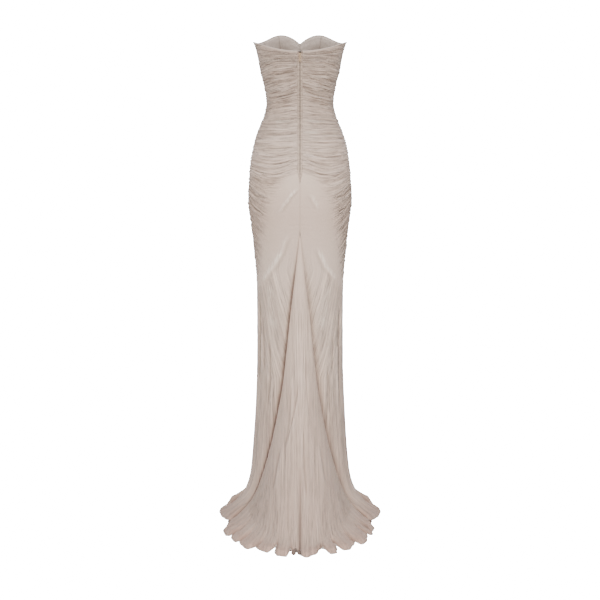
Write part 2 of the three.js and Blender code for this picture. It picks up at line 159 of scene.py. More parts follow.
def front_surface(at, across):
    """The front, from the left side seam round to the right one."""
    g = girth(at)
    turn = math.pi * across
    bulge = np.sin(turn)
    x = g["half"] * np.cos(turn)
    away = np.abs(x) - HEART["peak"]
    arch = np.where(
        away < 0,
        1 - (away / HEART["inside"]) ** 2,
        0.5 + 0.5 * np.cos(math.pi * np.clip(away / HEART["outside"], 0, 1)),
    )
    lift = HEART["lift"] * arch * (1 - smooth(0, HEART["fades"], at))
    z = mix(g["side_z"], g["front_z"], bulge**2) + lift
    cup_x = (np.abs(x) - CUP["x"]) / CUP["across"]
    cup_z = (z - CUP["z"]) / CUP["tall"]
    y = mix(g["side_y"], g["front_y"], bulge) - CUP["out"] * np.exp(-(cup_x**2) - cup_z**2)
    return np.stack([x, y, z], -1)


def back_surface(at, across):
    """The left back, from the side seam to its inner edge."""
    g = girth(at)
    turn = math.pi / 2 * across
    bulge = np.sin(turn)
    x = mix(g["back_x"], g["half"], np.cos(turn))
    y = mix(g["side_y"], g["back_y"], bulge)
    return np.stack([x, y, mix(g["side_z"], g["back_z"], bulge**2)], -1)


def godet_surface(at, across):
    """The left half of the godet, from its seam to the middle of the train."""
    g = girth(at)
    turn = math.pi / 2 * across
    bulge = np.sin(turn)
    y = mix(g["back_y"], g["train_y"], bulge)
    return np.stack([g["back_x"] * np.cos(turn), y, mix(g["back_z"], g["train_z"], bulge**2)], -1)


def placed(points):
    """Millimetres over the floor to the frame's metres from the waist."""
    return (points - [0, 0, WAIST_HEIGHT]) / 1000


print("top of the cups:", round(front_surface(np.zeros(99), np.linspace(0, 1, 99))[:, 2].max()), "mm high")

# %% [markdown]
# ## How chiffon creases
#
# Cloth drawn up by hand folds in sizes: a few deep folds where it is pulled, smaller ones that run beside
# them, branch and die out, and a fine crush over all. A fold is round on top and sharp in the valley,
# because the cloth is full and is caught down from behind. Evenly spaced waves would look like corrugated
# card, so the folds here follow a wandering noise that is stretched along their length. The alternative,
# a cloth simulation of metres of gathered chiffon, wouldn't settle in the time and wouldn't put a fold
# where the dressmaker pinned it.

# %% Noise and folds
LATTICE = 256


def noise(x, y, seed):
    """Smooth noise from about -1 to 1, the same each run."""
    angle = 2 * math.pi * np.random.default_rng(seed).random((LATTICE, LATTICE))
    whole_x = np.floor(x).astype(int)
    whole_y = np.floor(y).astype(int)
    part_x = x - whole_x
    part_y = y - whole_y

    def corner(step_x, step_y):
        a = angle[(whole_x + step_x) % LATTICE, (whole_y + step_y) % LATTICE]
        return np.cos(a) * (part_x - step_x) + np.sin(a) * (part_y - step_y)

    ease_x = part_x**3 * (part_x * (6 * part_x - 15) + 10)
    ease_y = part_y**3 * (part_y * (6 * part_y - 15) + 10)
    low = mix(corner(0, 0), corner(1, 0), ease_x)
    high = mix(corner(0, 1), corner(1, 1), ease_x)
    return 1.5 * mix(low, high, ease_y)


def folds(along_fold, over_folds, length, pitch, seed):
    """Folds that are round on the ridges, at 1, and sharp in the valleys, at 0."""
    return np.clip(1.6 * np.abs(noise(along_fold / length, over_folds / pitch, seed)), 0, 1)


print("noise at one place:", round(float(noise(np.array([2.4]), np.array([7.1]), 3)[0]), 4))

# %% Gathers
# Three sizes of fold: how long, how far apart and how high
GATHER_SIZES = [(260, 16, 1.5), (190, 8, 2.9), (80, 4.8, 1.1)]
# How far a fold strays from its line, over which length along it and which width across the folds
GATHER_WANDER = [(3.4, 150, 60), (0.9, 50, 22)]
# The large folds fade in patches: how long and wide a patch is
GATHER_PATCH = (90, 26)


def gathers(along_fold, over_folds, seed):
    """Ruched cloth, in millimetres off its mean surface: long thin folds, most of them about 8 mm apart."""
    over = over_folds + sum(
        reach * noise(along_fold / long, over_folds / wide, seed + i)
        for i, (reach, long, wide) in enumerate(GATHER_WANDER)
    )
    long, wide = GATHER_PATCH
    fade = 0.75 + 0.6 * noise(along_fold / long, over / wide, seed + 2)
    large, middle, small = (
        folds(along_fold, over, *size[:2], seed + 3 + i)
        for i, size in enumerate(GATHER_SIZES)
    )
    large = large * fade - 0.4
    middle = middle**0.8 * (1.35 - 0.45 * fade) - 0.5
    small = small - 0.45
    return sum(size[2] * fold for size, fold in zip(GATHER_SIZES, (large, middle, small)))


print("gathers:", len(GATHER_SIZES), "sizes")

# %% One crease
# Beside a crease's valley stands a ridge: how far away and how broad it is, in widths of the valley, and its
# height as a share of the valley's depth. Both taper over a share of the crease's length.
CREASE = {"away": 1.9, "broad": 1.2, "height": 0.5, "taper": 0.22}


def crease(x, z, line, width, depth):
    """A crease along a given line of points: a valley with a soft ridge beside it, or with a negative
    depth a ridge with a soft hollow. It tapers at both ends."""
    line = np.array(line, float)
    nearest = np.full(x.shape, 1e9)
    signed = np.zeros(x.shape)
    place = np.zeros(x.shape)
    steps = np.hypot(*np.diff(line, axis=0).T)
    done = np.concatenate([[0], np.cumsum(steps)])
    for i, step in enumerate(steps):
        way = (line[i + 1] - line[i]) / step
        gone = np.clip((x - line[i, 0]) * way[0] + (z - line[i, 1]) * way[1], 0, step)
        off_x = x - line[i, 0] - gone * way[0]
        off_z = z - line[i, 1] - gone * way[1]
        away = np.hypot(off_x, off_z)
        closer = away < nearest
        nearest = np.where(closer, away, nearest)
        side = np.sign(off_z * way[0] - off_x * way[1]) * np.sign(way[0] + 1e-9)
        signed = np.where(closer, away * side, signed)
        place = np.where(closer, (done[i] + gone) / done[-1], place)
    taper = smooth(0, CREASE["taper"], place) * smooth(0, CREASE["taper"], 1 - place)
    valley = np.exp(-((signed / width) ** 2))
    from_ridge = signed + CREASE["away"] * width
    ridge = np.exp(-((from_ridge / (CREASE["broad"] * width)) ** 2))
    return depth * taper * (CREASE["height"] * ridge - valley)


middle = crease(np.zeros(1), np.zeros(1), [(-9, 0), (9, 0)], 2, 2.4)
print("middle of a crease:", round(float(middle[0]), 2), "mm off the surface")

# %% [markdown]
# ## Where the folds run
#
# The folds of a ruched panel aren't level. On the back they rise to the zip in the bodice, lie level at
# the waist and hang in a bow over the hips, and further down they droop towards the middle. Each row
# gives one such line by three heights, and every place on the cloth then knows which fold it lies on. The
# front isn't in the photo. Its lines are level at the waist and dip below it.

# %% Fold lines of the back
# Heights of one fold at the side seam, half way in and at the centre
BACK_FOLDS = np.array([
    [1500, 1474, 1462],
    [1466, 1441, 1431],
    [1430, 1420, 1417],
    [1389, 1401, 1398],
    [1352, 1361, 1368],
    [1318, 1329, 1340],
    [1284, 1294, 1307],
    [1262, 1269, 1278],
    [1240, 1245, 1251],
    [1215, 1216, 1220],
    [1185, 1183, 1184],
    [1155, 1152, 1154],
    [1130, 1121, 1129],
    [1105, 1088, 1103],
    [1080, 1056, 1074],
    [1055, 1023, 1040],
    [1030, 986, 1004],
    [1005, 952, 966],
    [980, 920, 930],
    [950, 885, 892],
    [920, 850, 854],
    [885, 810, 812],
    [845, 766, 766],
    [800, 718, 716],
    [700, 612, 610],
    [0, -100, -100],
])
print("fold lines on the back:", len(BACK_FOLDS))

# %% Fold lines of the front
FRONT_FOLDS = np.array([
    [1500, 1500, 1470],
    [1466, 1462, 1430],
    [1430, 1420, 1392],
    [1389, 1380, 1356],
    [1352, 1345, 1330],
    [1318, 1313, 1304],
    [1284, 1282, 1280],
    [1240, 1238, 1234],
    [1185, 1180, 1172],
    [1130, 1120, 1108],
    [1080, 1056, 1040],
    [1030, 990, 970],
    [980, 924, 900],
    [920, 850, 822],
    [845, 764, 732],
    [700, 608, 574],
    [0, -100, -140],
])
HALF_WAY = 0.5
OUTER_BEND = 1.7  # how late the folds bend on their way out to the seam


def fold_height(x, z, half, table):
    """Which fold a place lies on, as the height where that fold meets the side seam."""
    inward = np.clip(np.abs(x) / half, 0, 1)
    outer = np.clip((inward - HALF_WAY) / (1 - HALF_WAY), 0, 1) ** OUTER_BEND
    inner = smooth(0, 1, np.clip(inward / HALF_WAY, 0, 1))
    heights = np.where(
        inward[..., None] > HALF_WAY,
        mix(table[:, 1], table[:, 0], outer[..., None]),
        mix(table[:, 2], table[:, 1], inner[..., None]),
    )
    above = (heights > z[..., None]).sum(-1)
    above = np.clip(above, 1, len(table) - 1)
    high = np.take_along_axis(heights, above[..., None] - 1, -1)[..., 0]
    low = np.take_along_axis(heights, above[..., None], -1)[..., 0]
    share = np.clip((high - z) / (high - low), 0, 1)
    return mix(table[above - 1, 0], table[above, 0], share)


print("fold lines on the front:", len(FRONT_FOLDS))

# %% [markdown]
# ## Creases placed one by one
#
# Some folds are too particular for any noise: the pair that runs up from the waist to the zip, the flat
# folds over the hips, the soft ridges that fall away from the zip's end. Each is a short line of points
# across the cloth, with its own width and depth. A minus depth is a ridge.

# %% Creases of the left back
LEFT_CREASES = [
    # line of (x, height), width, depth
    ([(111, 1424), (60, 1420), (9, 1416)], 2, 1.6),
    ([(114, 1388), (70, 1399), (22, 1398)], 2.2, 2.4),
    ([(98, 1404), (60, 1408), (30, 1404)], 2, 1.4),
    ([(83, 1358), (40, 1364), (9, 1369)], 2, 2.2),
    ([(60, 1347), (30, 1353), (9, 1358)], 1.8, 1.8),
    ([(42, 1336), (22, 1341), (9, 1345)], 2, 2.4),
    ([(102, 1321), (75, 1330), (52, 1339)], 2, 2.2),
    ([(100, 1302), (60, 1312), (24, 1330)], 2, 2.2),
    ([(104, 1287), (70, 1292), (38, 1300), (9, 1309)], 2.4, 3.2),
    ([(103, 1279), (55, 1287), (20, 1296)], 2, 2.4),
    ([(102, 1264), (60, 1269), (20, 1280)], 2, 2),
    ([(62, 1264), (34, 1265), (9, 1262)], 2.2, 2.2),
    ([(42, 1251), (9, 1250)], 2, 2.2),
    ([(34, 1228), (9, 1220)], 2, 1.8),
    ([(32, 1181), (8, 1182)], 2, 2.6),
    ([(122, 1180), (70, 1177), (9, 1178)], 2.2, 2.4),
    ([(132, 1158), (80, 1155), (9, 1157)], 2.2, 2.4),
    ([(138, 1138), (80, 1134), (9, 1139)], 2.2, 2.2),
    ([(148, 1112), (80, 1108), (10, 1125)], 2.4, 2.2),
    ([(152, 1096), (90, 1083), (40, 1092), (10, 1110)], 2.4, 2),
    ([(155, 1078), (112, 1054), (85, 1053), (40, 1062)], 2.4, 2.4),
    ([(150, 1050), (120, 1030), (90, 1026), (64, 1032)], 2.4, 2),
    ([(158, 1012), (136, 990), (108, 982)], 2.4, 2.6),
    ([(160, 978), (140, 950), (116, 936)], 2.4, 2.6),
    ([(4, 1016), (30, 990), (50, 962), (70, 934)], 4, -2.6),
    ([(30, 880), (47, 850), (58, 816), (76, 783), (103, 747), (122, 720)], 5, -2.4),
    ([(126, 690), (124, 560), (128, 400)], 3, 4),
    ([(118, 640), (113, 520), (112, 430)], 2.6, 2.4),
    ([(96, 560), (93, 420), (104, 300)], 3, 2.4),
]
print("creases on the left back:", len(LEFT_CREASES))

# %% Creases of the right back
RIGHT_CREASES = [
    ([(9, 1417), (60, 1421), (110, 1427)], 2, 2),
    ([(9, 1397), (75, 1396), (117, 1387)], 2.2, 2.4),
    ([(12, 1408), (56, 1410), (92, 1410)], 2, 1.4),
    ([(30, 1361), (80, 1358), (112, 1351)], 2, 2),
    ([(36, 1343), (68, 1331), (100, 1319)], 2, 2.6),
    ([(20, 1352), (50, 1344), (84, 1334)], 1.8, 1.8),
    ([(9, 1311), (30, 1304), (64, 1295), (100, 1287)], 2.4, 3),
    ([(24, 1296), (70, 1285), (105, 1277)], 2, 2.4),
    ([(58, 1269), (92, 1269)], 3, 2.6),
    ([(9, 1255), (46, 1250), (70, 1246)], 2.2, 1.8),
    ([(9, 1232), (50, 1236)], 2, 1.6),
    ([(9, 1193), (60, 1190)], 2, 1.6),
    ([(9, 1174), (70, 1176), (125, 1181)], 2.2, 2.2),
    ([(9, 1154), (80, 1152), (134, 1157)], 2.4, 2.4),
    ([(9, 1136), (80, 1131), (140, 1137)], 2.2, 2),
    ([(10, 1124), (80, 1107), (148, 1114)], 2.4, 2),
    ([(12, 1106), (50, 1088), (96, 1080), (152, 1094)], 2.4, 2.2),
    ([(40, 1068), (60, 1056), (110, 1050), (154, 1074)], 2.4, 2.2),
    ([(110, 984), (138, 992), (158, 1014)], 2.4, 2.6),
    ([(114, 940), (140, 952), (160, 980)], 2.4, 2.6),
    ([(31, 997), (44, 972), (58, 945)], 4, -1.6),
    ([(52, 837), (66, 805), (79, 775), (116, 728)], 5, -2.2),
    ([(124, 680), (121, 520), (124, 290)], 3, 4),
    ([(104, 560), (100, 430)], 2.6, 2.4),
    ([(84, 470), (92, 300)], 3, 2.2),
]
print("creases on the right back:", len(RIGHT_CREASES))

# %% Creases of the godet and the front
GODET_LEFT_CREASES = [
    ([(3, 440), (9, 385), (22, 320), (46, 225)], 2.4, 2.4),
    ([(26, 420), (34, 300), (52, 200)], 2.6, 1.6),
    ([(60, 230), (84, 110)], 3.4, 2.4),
]
GODET_RIGHT_CREASES = [
    ([(20, 520), (22, 400), (30, 290)], 2.4, 1.6),
    ([(10, 300), (14, 180), (22, 90)], 2.8, 2),
    ([(58, 250), (80, 120)], 3, 2),
]
# The front isn't shown: the same kinds of fold, as the cups and the waist would pull them
FRONT_CREASES = [
    ([(-112, 1404), (-60, 1386), (-8, 1402)], 2.4, 2.4),
    ([(112, 1402), (62, 1384), (10, 1398)], 2.4, 2.4),
    ([(-108, 1366), (-50, 1356), (20, 1368)], 2.2, 2.2),
    ([(106, 1358), (60, 1350), (4, 1352)], 2.2, 2),
    ([(-100, 1316), (-30, 1310), (52, 1320)], 2.4, 2.8),
    ([(102, 1300), (40, 1296), (-30, 1292)], 2.4, 3),
    ([(-100, 1282), (-50, 1276), (6, 1280)], 2.6, 3.2),
    ([(100, 1268), (30, 1262), (-40, 1266)], 2.4, 2.6),
    ([(-108, 1240), (-40, 1236), (40, 1240)], 2.2, 2.2),
    ([(118, 1214), (40, 1206), (-20, 1210)], 2.2, 2),
    ([(-130, 1180), (-50, 1168), (60, 1172)], 2.4, 2.2),
    ([(138, 1156), (60, 1142), (-50, 1144)], 2.4, 2.4),
    ([(-146, 1120), (-60, 1098), (30, 1104)], 2.6, 2.2),
    ([(150, 1094), (80, 1066), (10, 1072)], 2.6, 2),
    ([(-150, 1066), (-96, 1030), (-40, 1036)], 2.6, 2),
    ([(-20, 640), (-30, 420), (-44, 210)], 5, 4),
    ([(46, 700), (54, 460), (70, 240)], 5, 3.6),
    ([(96, 560), (100, 380)], 3.4, 2.6),
    ([(-94, 620), (-98, 400)], 3.4, 2.8),
]


def creased(points, creases):
    """The listed creases of a panel, in millimetres off its surface."""
    x = points[..., 0]
    z = points[..., 2]
    return sum(crease(x, z, *one) for one in creases)


print("creases on the godet and the front:", len(GODET_LEFT_CREASES + GODET_RIGHT_CREASES + FRONT_CREASES))

# %% Glints
# Painted highlights where pleats catch the light: line of (x, height), half width, strength
LEFT_GLINTS = [
    ([(5, 1013), (28, 990), (61, 941)], 5, 1),
    ([(47, 858), (58, 818), (76, 786), (103, 749), (121, 718)], 6.5, 1),
    ([(80, 1219), (26, 1203)], 15, 0.6),
    ([(96, 735), (92, 640), (80, 560)], 14, 0.55),
]
RIGHT_GLINTS = [
    ([(31, 997), (58, 945)], 6, 0.55),
    ([(52, 837), (79, 775), (116, 728)], 6.5, 0.9),
    ([(12, 1196), (50, 1170)], 15, 0.6),
    ([(20, 1218), (64, 1210)], 12, 0.4),
    ([(92, 735), (80, 640), (66, 560)], 14, 0.5),
]


def glinting(points, glints):
    """How strongly a place lies on one of the lines of painted highlight, 0 to 1."""
    x = points[..., 0]
    z = points[..., 2]
    found = np.zeros(x.shape)
    for line, half_width, strength in glints:
        found = np.maximum(found, strength * np.clip(-crease(x, z, line, half_width, 1), 0, 1))
    return found


print("glints:", len(LEFT_GLINTS + RIGHT_GLINTS))

# %% [markdown]
# ## A panel's threads
#
# A panel is a grid of threads: rows that run round the body and columns that run down it. The rows are
# close together where the cloth is ruched, because the folds cross them there, and further apart on the
# skirt, where the pleats run down. Lengths are measured along the threads, because a pleat keeps its
# width on the cloth and not in the air.

# %% Rows, lengths and directions
COLUMNS = {"body": 136, "godet": 216}
# Where the rows turn from the ruched cloth's spacing to the skirt's and to the flare's, counted in girths
SKIRT_ROWS = 19.6
FLARE_ROWS = 28.5
ROW_STEP = {"ruched": 0.033, "skirt": 0.12}
FLARE_ROW_COUNT = 50


def rows_from(start):
    """Where the rows lie, from a section down to the hem."""
    ruched = np.arange(start, SKIRT_ROWS, ROW_STEP["ruched"])
    skirt = np.arange(SKIRT_ROWS, FLARE_ROWS, ROW_STEP["skirt"])
    flare = np.linspace(FLARE_ROWS, HEM, FLARE_ROW_COUNT)
    return np.concatenate([ruched, skirt, flare])


def lengths(points, axis):
    """The distance gone along a grid's rows (axis 1) or columns (axis 0)."""
    steps = np.linalg.norm(np.diff(points, axis=axis), axis=-1)
    start = np.zeros_like(np.take(steps, [0], axis))
    return np.concatenate([start, np.cumsum(steps, axis)], axis)


def directions(points, outward):
    """Unit directions across, down and out of a grid of points."""
    across = np.gradient(points, axis=1)
    down = np.gradient(points, axis=0)
    out = outward * np.cross(across, down)
    return [way / np.linalg.norm(way, axis=-1, keepdims=True) for way in (across, down, out)]


print("rows on a back:", len(rows_from(0)))

# %% [markdown]
# ## Ruching above, pleats below
#
# At the side seams the cloth is drawn up down to below the hips. Towards the zip's end the ruching stops
# higher, which leaves the plain V in the middle. Below a slanting line the pleats are let go and fall
# free. They lean a little inwards on their way down the backs, as the cloth is cut on a slant towards the
# godet.

# %% Ruching and pleats
# How far in from the side seam the cloth is drawn up: girth and share of the panel's width
RUCHE_REACH = np.array([
    [0, 1.5], [11.2, 1.5], [12, 1.16], [12.6, 0.94], [13.2, 0.83], [14, 0.75], [15, 0.67], [16, 0.61],
    [17, 0.56], [18, 0.5], [18.8, 0.4], [19.6, 0.12], [20.2, 0], [32, 0],
])
RUCHE_FADE = 0.26
# Where the pleats are let go: how high that is, from the centre outwards
LET_GO = np.array([
    [0, 900], [42, 868], [58, 821], [79, 785], [105, 749], [126, 728], [150, 716], [400, 700],
])
LET_GO_FADE = 40
LET_GO_INNER = (50, 90)  # nearer the centre than this they open out more slowly
# Two sizes of pleat: how long, how far apart and how high
BROAD_PLEAT = (500, 17, 0.5)
NARROW_PLEAT = (260, 6.5, 1.3)
# How far a pleat strays and in which patches pleats stand out, by width and length
PLEAT_WANDER = (0.9, 60, 380)
PLEAT_PATCH = (26, 120)
# How much of the pleats' relief the roll takes away at the hem, and from which girth on
HEM_FLAT = {"from": 30.4, "share": 0.8}
# How far the pleats of the backs lean inwards for each millimetre down, and between which heights
LEAN = {"share": 0.4, "top": 760, "end": 430}


def ruche(at, from_side):
    """How strongly the cloth is drawn up, from 1 at the side seam to 0 where it lies smooth."""
    reach = np.interp(at, *RUCHE_REACH.T)
    return 1 - smooth(reach - RUCHE_FADE, reach, from_side)


def let_go(points, inner_fade=200):
    """How freely the pleats fall, from 0 above the line where they are let go."""
    x = np.abs(points[..., 0])
    below = np.interp(x, *LET_GO.T) - points[..., 2]
    inner = 1 - smooth(*LET_GO_INNER, x)
    return smooth(0, LET_GO_FADE, below) * mix(1, smooth(0, inner_fade, below), inner)


def pleats(over, down, seed):
    """Pleats that run down the cloth, in millimetres off its mean surface."""
    reach, wide, long = PLEAT_WANDER
    over_now = over + reach * noise(over / wide, down / long, seed)
    broad = folds(down, over_now, *BROAD_PLEAT[:2], seed + 1) - 0.45
    narrow = folds(down, over_now, *NARROW_PLEAT[:2], seed + 2) ** 0.8 - 0.5
    patch = 0.85 + 0.35 * noise(over / PLEAT_PATCH[0], down / PLEAT_PATCH[1], seed + 3)
    return (BROAD_PLEAT[2] * broad + NARROW_PLEAT[2] * narrow) * patch


def flattened(at):
    """How much of the pleats' relief is left: less at the hem, where the roll draws them flat."""
    return 1 - HEM_FLAT["share"] * smooth(HEM_FLAT["from"], HEM, at)


print("pleats are let go between", LET_GO[:, 1].min(), "and", LET_GO[:, 1].max(), "mm")

# %% [markdown]
# ## The hem
#
# A pleated hem doesn't lie flat: it stands in tongues, each round at its end, with a notch between two of
# them, and from each notch a crease runs up the train. The tables follow the hem round panel by panel. A
# row gives the share of the panel's width, how far the hem reaches past its plain outline, how high the
# cloth stands behind its edge, and how high the edge itself stands. An edge that stands is a notch. A
# wave of even flutes would be simpler to write, but the real tongues differ in width and reach.

# %% Hem of the backs and the godet
HEM_BACK = np.array([
    [0, 8, -3, 0], [0.12, 10, -2, 0], [0.35, 5, 5, 0], [0.6, -3, 9, 0], [0.88, -8, 8, 0],
    [1, -15, 2, 5],
])
HEM_GODET_LEFT = np.array([
    [0, -15, 2, 5], [0.05, 8, 8, 0], [0.14, 30, 14, 0], [0.23, 28, 13, 0], [0.27, 0, 1, 6],
    [0.31, 14, 9, 0], [0.37, 16, 12, 0], [0.405, 0, 1, 6], [0.46, 8, 9, 0], [0.53, 15, 13, 0],
    [0.58, -14, 1, 5], [0.64, -8, 9, 0], [0.71, -6, 14, 0], [0.75, -52, 1, 16], [0.78, -12, 9, 0],
    [0.81, 0, 15, 0], [0.885, 0, 14, 0], [0.903, -44, 1, 16], [0.93, -30, 6, 4], [1, -30, 1, 4],
])
HEM_GODET_RIGHT = np.array([
    [0, -15, 2, 5], [0.04, 0, 8, 0], [0.11, 17, 14, 0], [0.16, 14, 11, 0], [0.185, 6, 5, 2],
    [0.225, 18, 8, 0], [0.262, -6, 1, 6], [0.3, 6, 9, 0], [0.37, 18, 13, 0], [0.42, 18, 13, 0],
    [0.455, -12, 1, 7], [0.5, -4, 9, 0], [0.57, 8, 14, 0], [0.61, 0, 11, 0], [0.632, -46, 1, 10],
    [0.66, -14, 9, 0], [0.69, 2, 14, 0], [0.735, 2, 13, 0], [0.762, -40, 1, 12], [0.82, -34, 8, 4],
    [0.88, -14, 12, 0], [0.945, 2, 12, 0], [1, -30, 1, 4],
])
print("notches in the train:", (HEM_GODET_LEFT[:, 3] > 0).sum() + (HEM_GODET_RIGHT[:, 3] > 0).sum())

# %% Hem of the front
HEM_FRONT = np.array([
    [0, 8, -3, 0], [0.05, 2, -4, 0], [0.07, -8, -4, 0], [0.088, -20, -2, 2], [0.108, 3, 15, 0],
    [0.14, 10, 18, 0], [0.17, 7, 17, 0], [0.21, -4, 12, 0], [0.26, -26, 1, 11], [0.29, 2, 9, 0],
    [0.34, 12, 14, 0], [0.4, 4, 10, 0], [0.43, -29, 1, 13], [0.46, 0, 9, 0], [0.51, 12, 14, 0],
    [0.55, 4, 10, 0], [0.58, -24, 1, 13], [0.61, 4, 9, 0], [0.67, 14, 14, 0], [0.72, 2, 9, 0],
    [0.745, -26, 1, 13], [0.79, -4, 12, 0], [0.83, 7, 17, 0], [0.86, 10, 18, 0], [0.892, 3, 15, 0],
    [0.912, -20, -2, 2], [0.93, -8, -4, 0], [0.95, 2, -4, 0], [1, 8, -3, 0],
])
print("notches in the front:", (HEM_FRONT[:, 3] > 0).sum())

# %% Shaping the hem
# The crease above a notch: how wide and deep, and between which girths it fades. Taller notches start it
# higher.
GROOVE = {"width": 6.5, "depth": 2, "from": 30.6, "to": 31.2, "higher": 0.1}
TONGUE = 0.65  # how square a tongue's end is
REACH_FROM = 28.8
STAND_FROM = 28.6
STAND_TO = 31
EDGE_ROUNDED = 31.4
FLOOR_CLEAR = 1.6  # the lowest a sheet lies, so that its rolled edge is clear of the floor


def read_across(table, column, across):
    """A column of a hem table read across a panel: level on the tongues and steep at the notches."""
    row = np.clip(np.searchsorted(table[:, 0], across, side="right") - 1, 0, len(table) - 2)
    share = np.clip((across - table[row, 0]) / (table[row + 1, 0] - table[row, 0]), 0, 1)
    rising = np.sin(math.pi / 2 * share) ** TONGUE
    falling = 1 - np.cos(math.pi / 2 * share) ** TONGUE
    level = np.where(table[row + 1, 3] > 0, falling, smooth(0, 1, share))
    share = np.where(table[row, 3] > 0, rising, level)
    return mix(table[row, column], table[row + 1, column], share)


def grooves(at, across, width, table):
    """The creases that run up from the hem's notches, from 0 to 1."""
    found = np.zeros(at.shape)
    for share, stands in table[table[:, 3] > 0][:, [0, 3]]:
        away = (across - share) * width
        faded = smooth(GROOVE["from"] - GROOVE["higher"] * stands, GROOVE["to"], at)
        found = np.maximum(found, np.exp(-((away / GROOVE["width"]) ** 2)) * faded)
    return found


def shaped(points, at, across, ways, off, hem):
    """Points moved off the surface by the folds, and at the hem drawn out in tongues and in at notches."""
    down, out = ways[1:]
    width = lengths(points, 1)[:, -1:]
    groove = grooves(at, across, width, hem)
    moved = points + out * (off - GROOVE["depth"] * groove)[..., None]
    moved = moved + down * (read_across(hem, 1, across) * smooth(REACH_FROM, HEM, at))[..., None]
    edge = smooth(EDGE_ROUNDED, HEM, at)
    moved[..., 2] += read_across(hem, 2, across) * smooth(STAND_FROM, STAND_TO, at) * (1 - edge)
    moved[..., 2] += read_across(hem, 3, across) * edge
    moved[..., 2] = np.maximum(moved[..., 2], FLOOR_CLEAR)
    return moved, groove


print("hem shaped from girth", STAND_FROM, "to", HEM)

# %% [markdown]
# ## From threads to a sheet of cloth
#
# The grid of points becomes a mesh, with two maps on it that say where a point lies on the cloth: along
# and over the gathers, and along and over the pleats. With them go a few values for the finish: how high
# the fold is, how strongly the cloth is ruched or pleated, where it glints, and where it is a single
# layer. A plain unwrapping would cut across the folds, and the crush in the finish has to run with them.

# %% Sheets


def cloth(name, points, maps, values, inside_out=False):
    """A sheet's mesh from its grid of points, with its cloth maps and its values at each point."""
    rows, columns = points.shape[:2]
    number = np.arange(rows * columns).reshape(rows, columns)
    corners = [number[:-1, :-1], number[1:, :-1], number[1:, 1:], number[:-1, 1:]]
    if inside_out:
        corners.reverse()
    faces = np.stack(corners, -1).reshape(-1, 4)
    mesh = bpy.data.meshes.new(name)
    mesh.from_pydata(placed(points).reshape(-1, 3), [], faces.tolist())
    mesh.shade_smooth()
    loops = np.empty(len(mesh.loops), int)
    mesh.loops.foreach_get("vertex_index", loops)
    for title, coordinates in maps.items():
        layer = mesh.uv_layers.new(name=title)
        layer.data.foreach_set("uv", coordinates.reshape(-1, 2)[loops].ravel().astype(np.float32))
    for title, amounts in values.items():
        attribute = mesh.attributes.new(title, "FLOAT", "POINT")
        attribute.data.foreach_set("value", amounts.ravel().astype(np.float32))
    piece = bpy.data.objects.new(name, mesh)
    bpy.context.scene.collection.objects.link(piece)
    return piece


def cloth_maps(along_fold, over_folds, from_seam, down):
    """Where a point lies on the cloth, in metres, by the gathers and by the pleats."""
    return {
        "gathers": np.stack([along_fold, over_folds], -1) / 1000,
        "pleats": np.stack([from_seam, down], -1) / 1000,
    }


SINGLE_LAYER = (29.6, 31.6)  # girths between which the cloth comes to lie in a single layer


def cloth_values(at, off, drawn, spread, glint):
    """What the material reads at each point of a panel."""
    return {
        "fold": off,
        "ruched": np.clip(drawn, 0, 1),
        "pleated": spread,
        "glint": glint,
        "single": smooth(*SINGLE_LAYER, at),
    }


def mirrored_cloth(name, points, maps, values, side):
    points = points * [side, 1, 1]
    return cloth(name, points, maps, values, inside_out=side < 0), points


print("maps on the cloth:", ", ".join(cloth_maps(*[np.zeros(1)] * 4)))

# %% Seams and spacing
FINER = {"below": 1040, "by": 0.45}
# Girths from which the cloth fans out, so that its pleats grow wider and not more
FLARE_START = 26
GODET_FLARE_START = 29.6
SIDE_SEAM = (3, 1.6)  # width and depth of the dip along it
EASED_COLUMNS = 9


def seam_dip(distance, width, depth):
    return -depth * np.exp(-((distance / width) ** 2))


def finer_below(over):
    """Folds lie closer together below the hips: the count of folds, as a height, runs faster there."""
    return over - FINER["by"] * np.maximum(FINER["below"] - over, 0)


def unspread(from_seam, at, flare_start=FLARE_START):
    """Widths measured on the cloth, which fans out below the flare."""
    start = np.abs(at[:, 0] - flare_start).argmin()
    spread = np.maximum(from_seam[:, -1:] / from_seam[start, -1], 1)
    return from_seam / np.where(at > flare_start, spread, 1)


def sewn_to(points, line):
    """A panel whose first column is drawn on to a seam line, and the cloth beside it eased along."""
    ease = 1 - smooth(0, EASED_COLUMNS, np.arange(points.shape[1]))
    return points + (line - points[:, 0])[:, None] * ease[None, :, None]


print("a fold line at 900 mm counts as", finer_below(900))

# %% [markdown]
# ## The two backs
#
# Each back is ruched from the side seam to the zip above, and its inner edge is open along the godet
# below. The folds are flattest under the arm, where the boning holds the cloth, and fullest at the side
# seam over the hips. Along the godet the edge dips into a groove, deeper on the left than on the right.

# %% How full the folds are
# Girths between which the cloth below the zip grows calmer
BELOW_ZIP = (12.5, 14.5)
# How much fuller or flatter the folds are in some places, as a share
FULLER = {"under_arm": -0.7, "seam_of_bodice": -0.3, "seam_of_hips": 0.5}
CALMER = {"below_waist": 0.9, "below_zip": 0.85}


def fullness(points, at, from_seam):
    """How full the folds of a back are, with 1 for the plain ones."""
    places = {
        "under_arm": smooth(95, 125, points[..., 0]) * smooth(1370, 1410, points[..., 2]),
        "seam_of_bodice": np.exp(-from_seam / 12) * (1 - smooth(8, 10, at)),
        "seam_of_hips": np.exp(-from_seam / 40) * smooth(9, 12, at),
    }
    full = math.prod(1 + FULLER[place] * share for place, share in places.items())
    waist_down = mix(1, CALMER["below_waist"], smooth(6, 8, at))
    return full * waist_down * mix(1, CALMER["below_zip"], smooth(*BELOW_ZIP, at))


print("places where folds are fuller or flatter:", ", ".join(FULLER))

# %% Backs
GATHER_SEED = 40
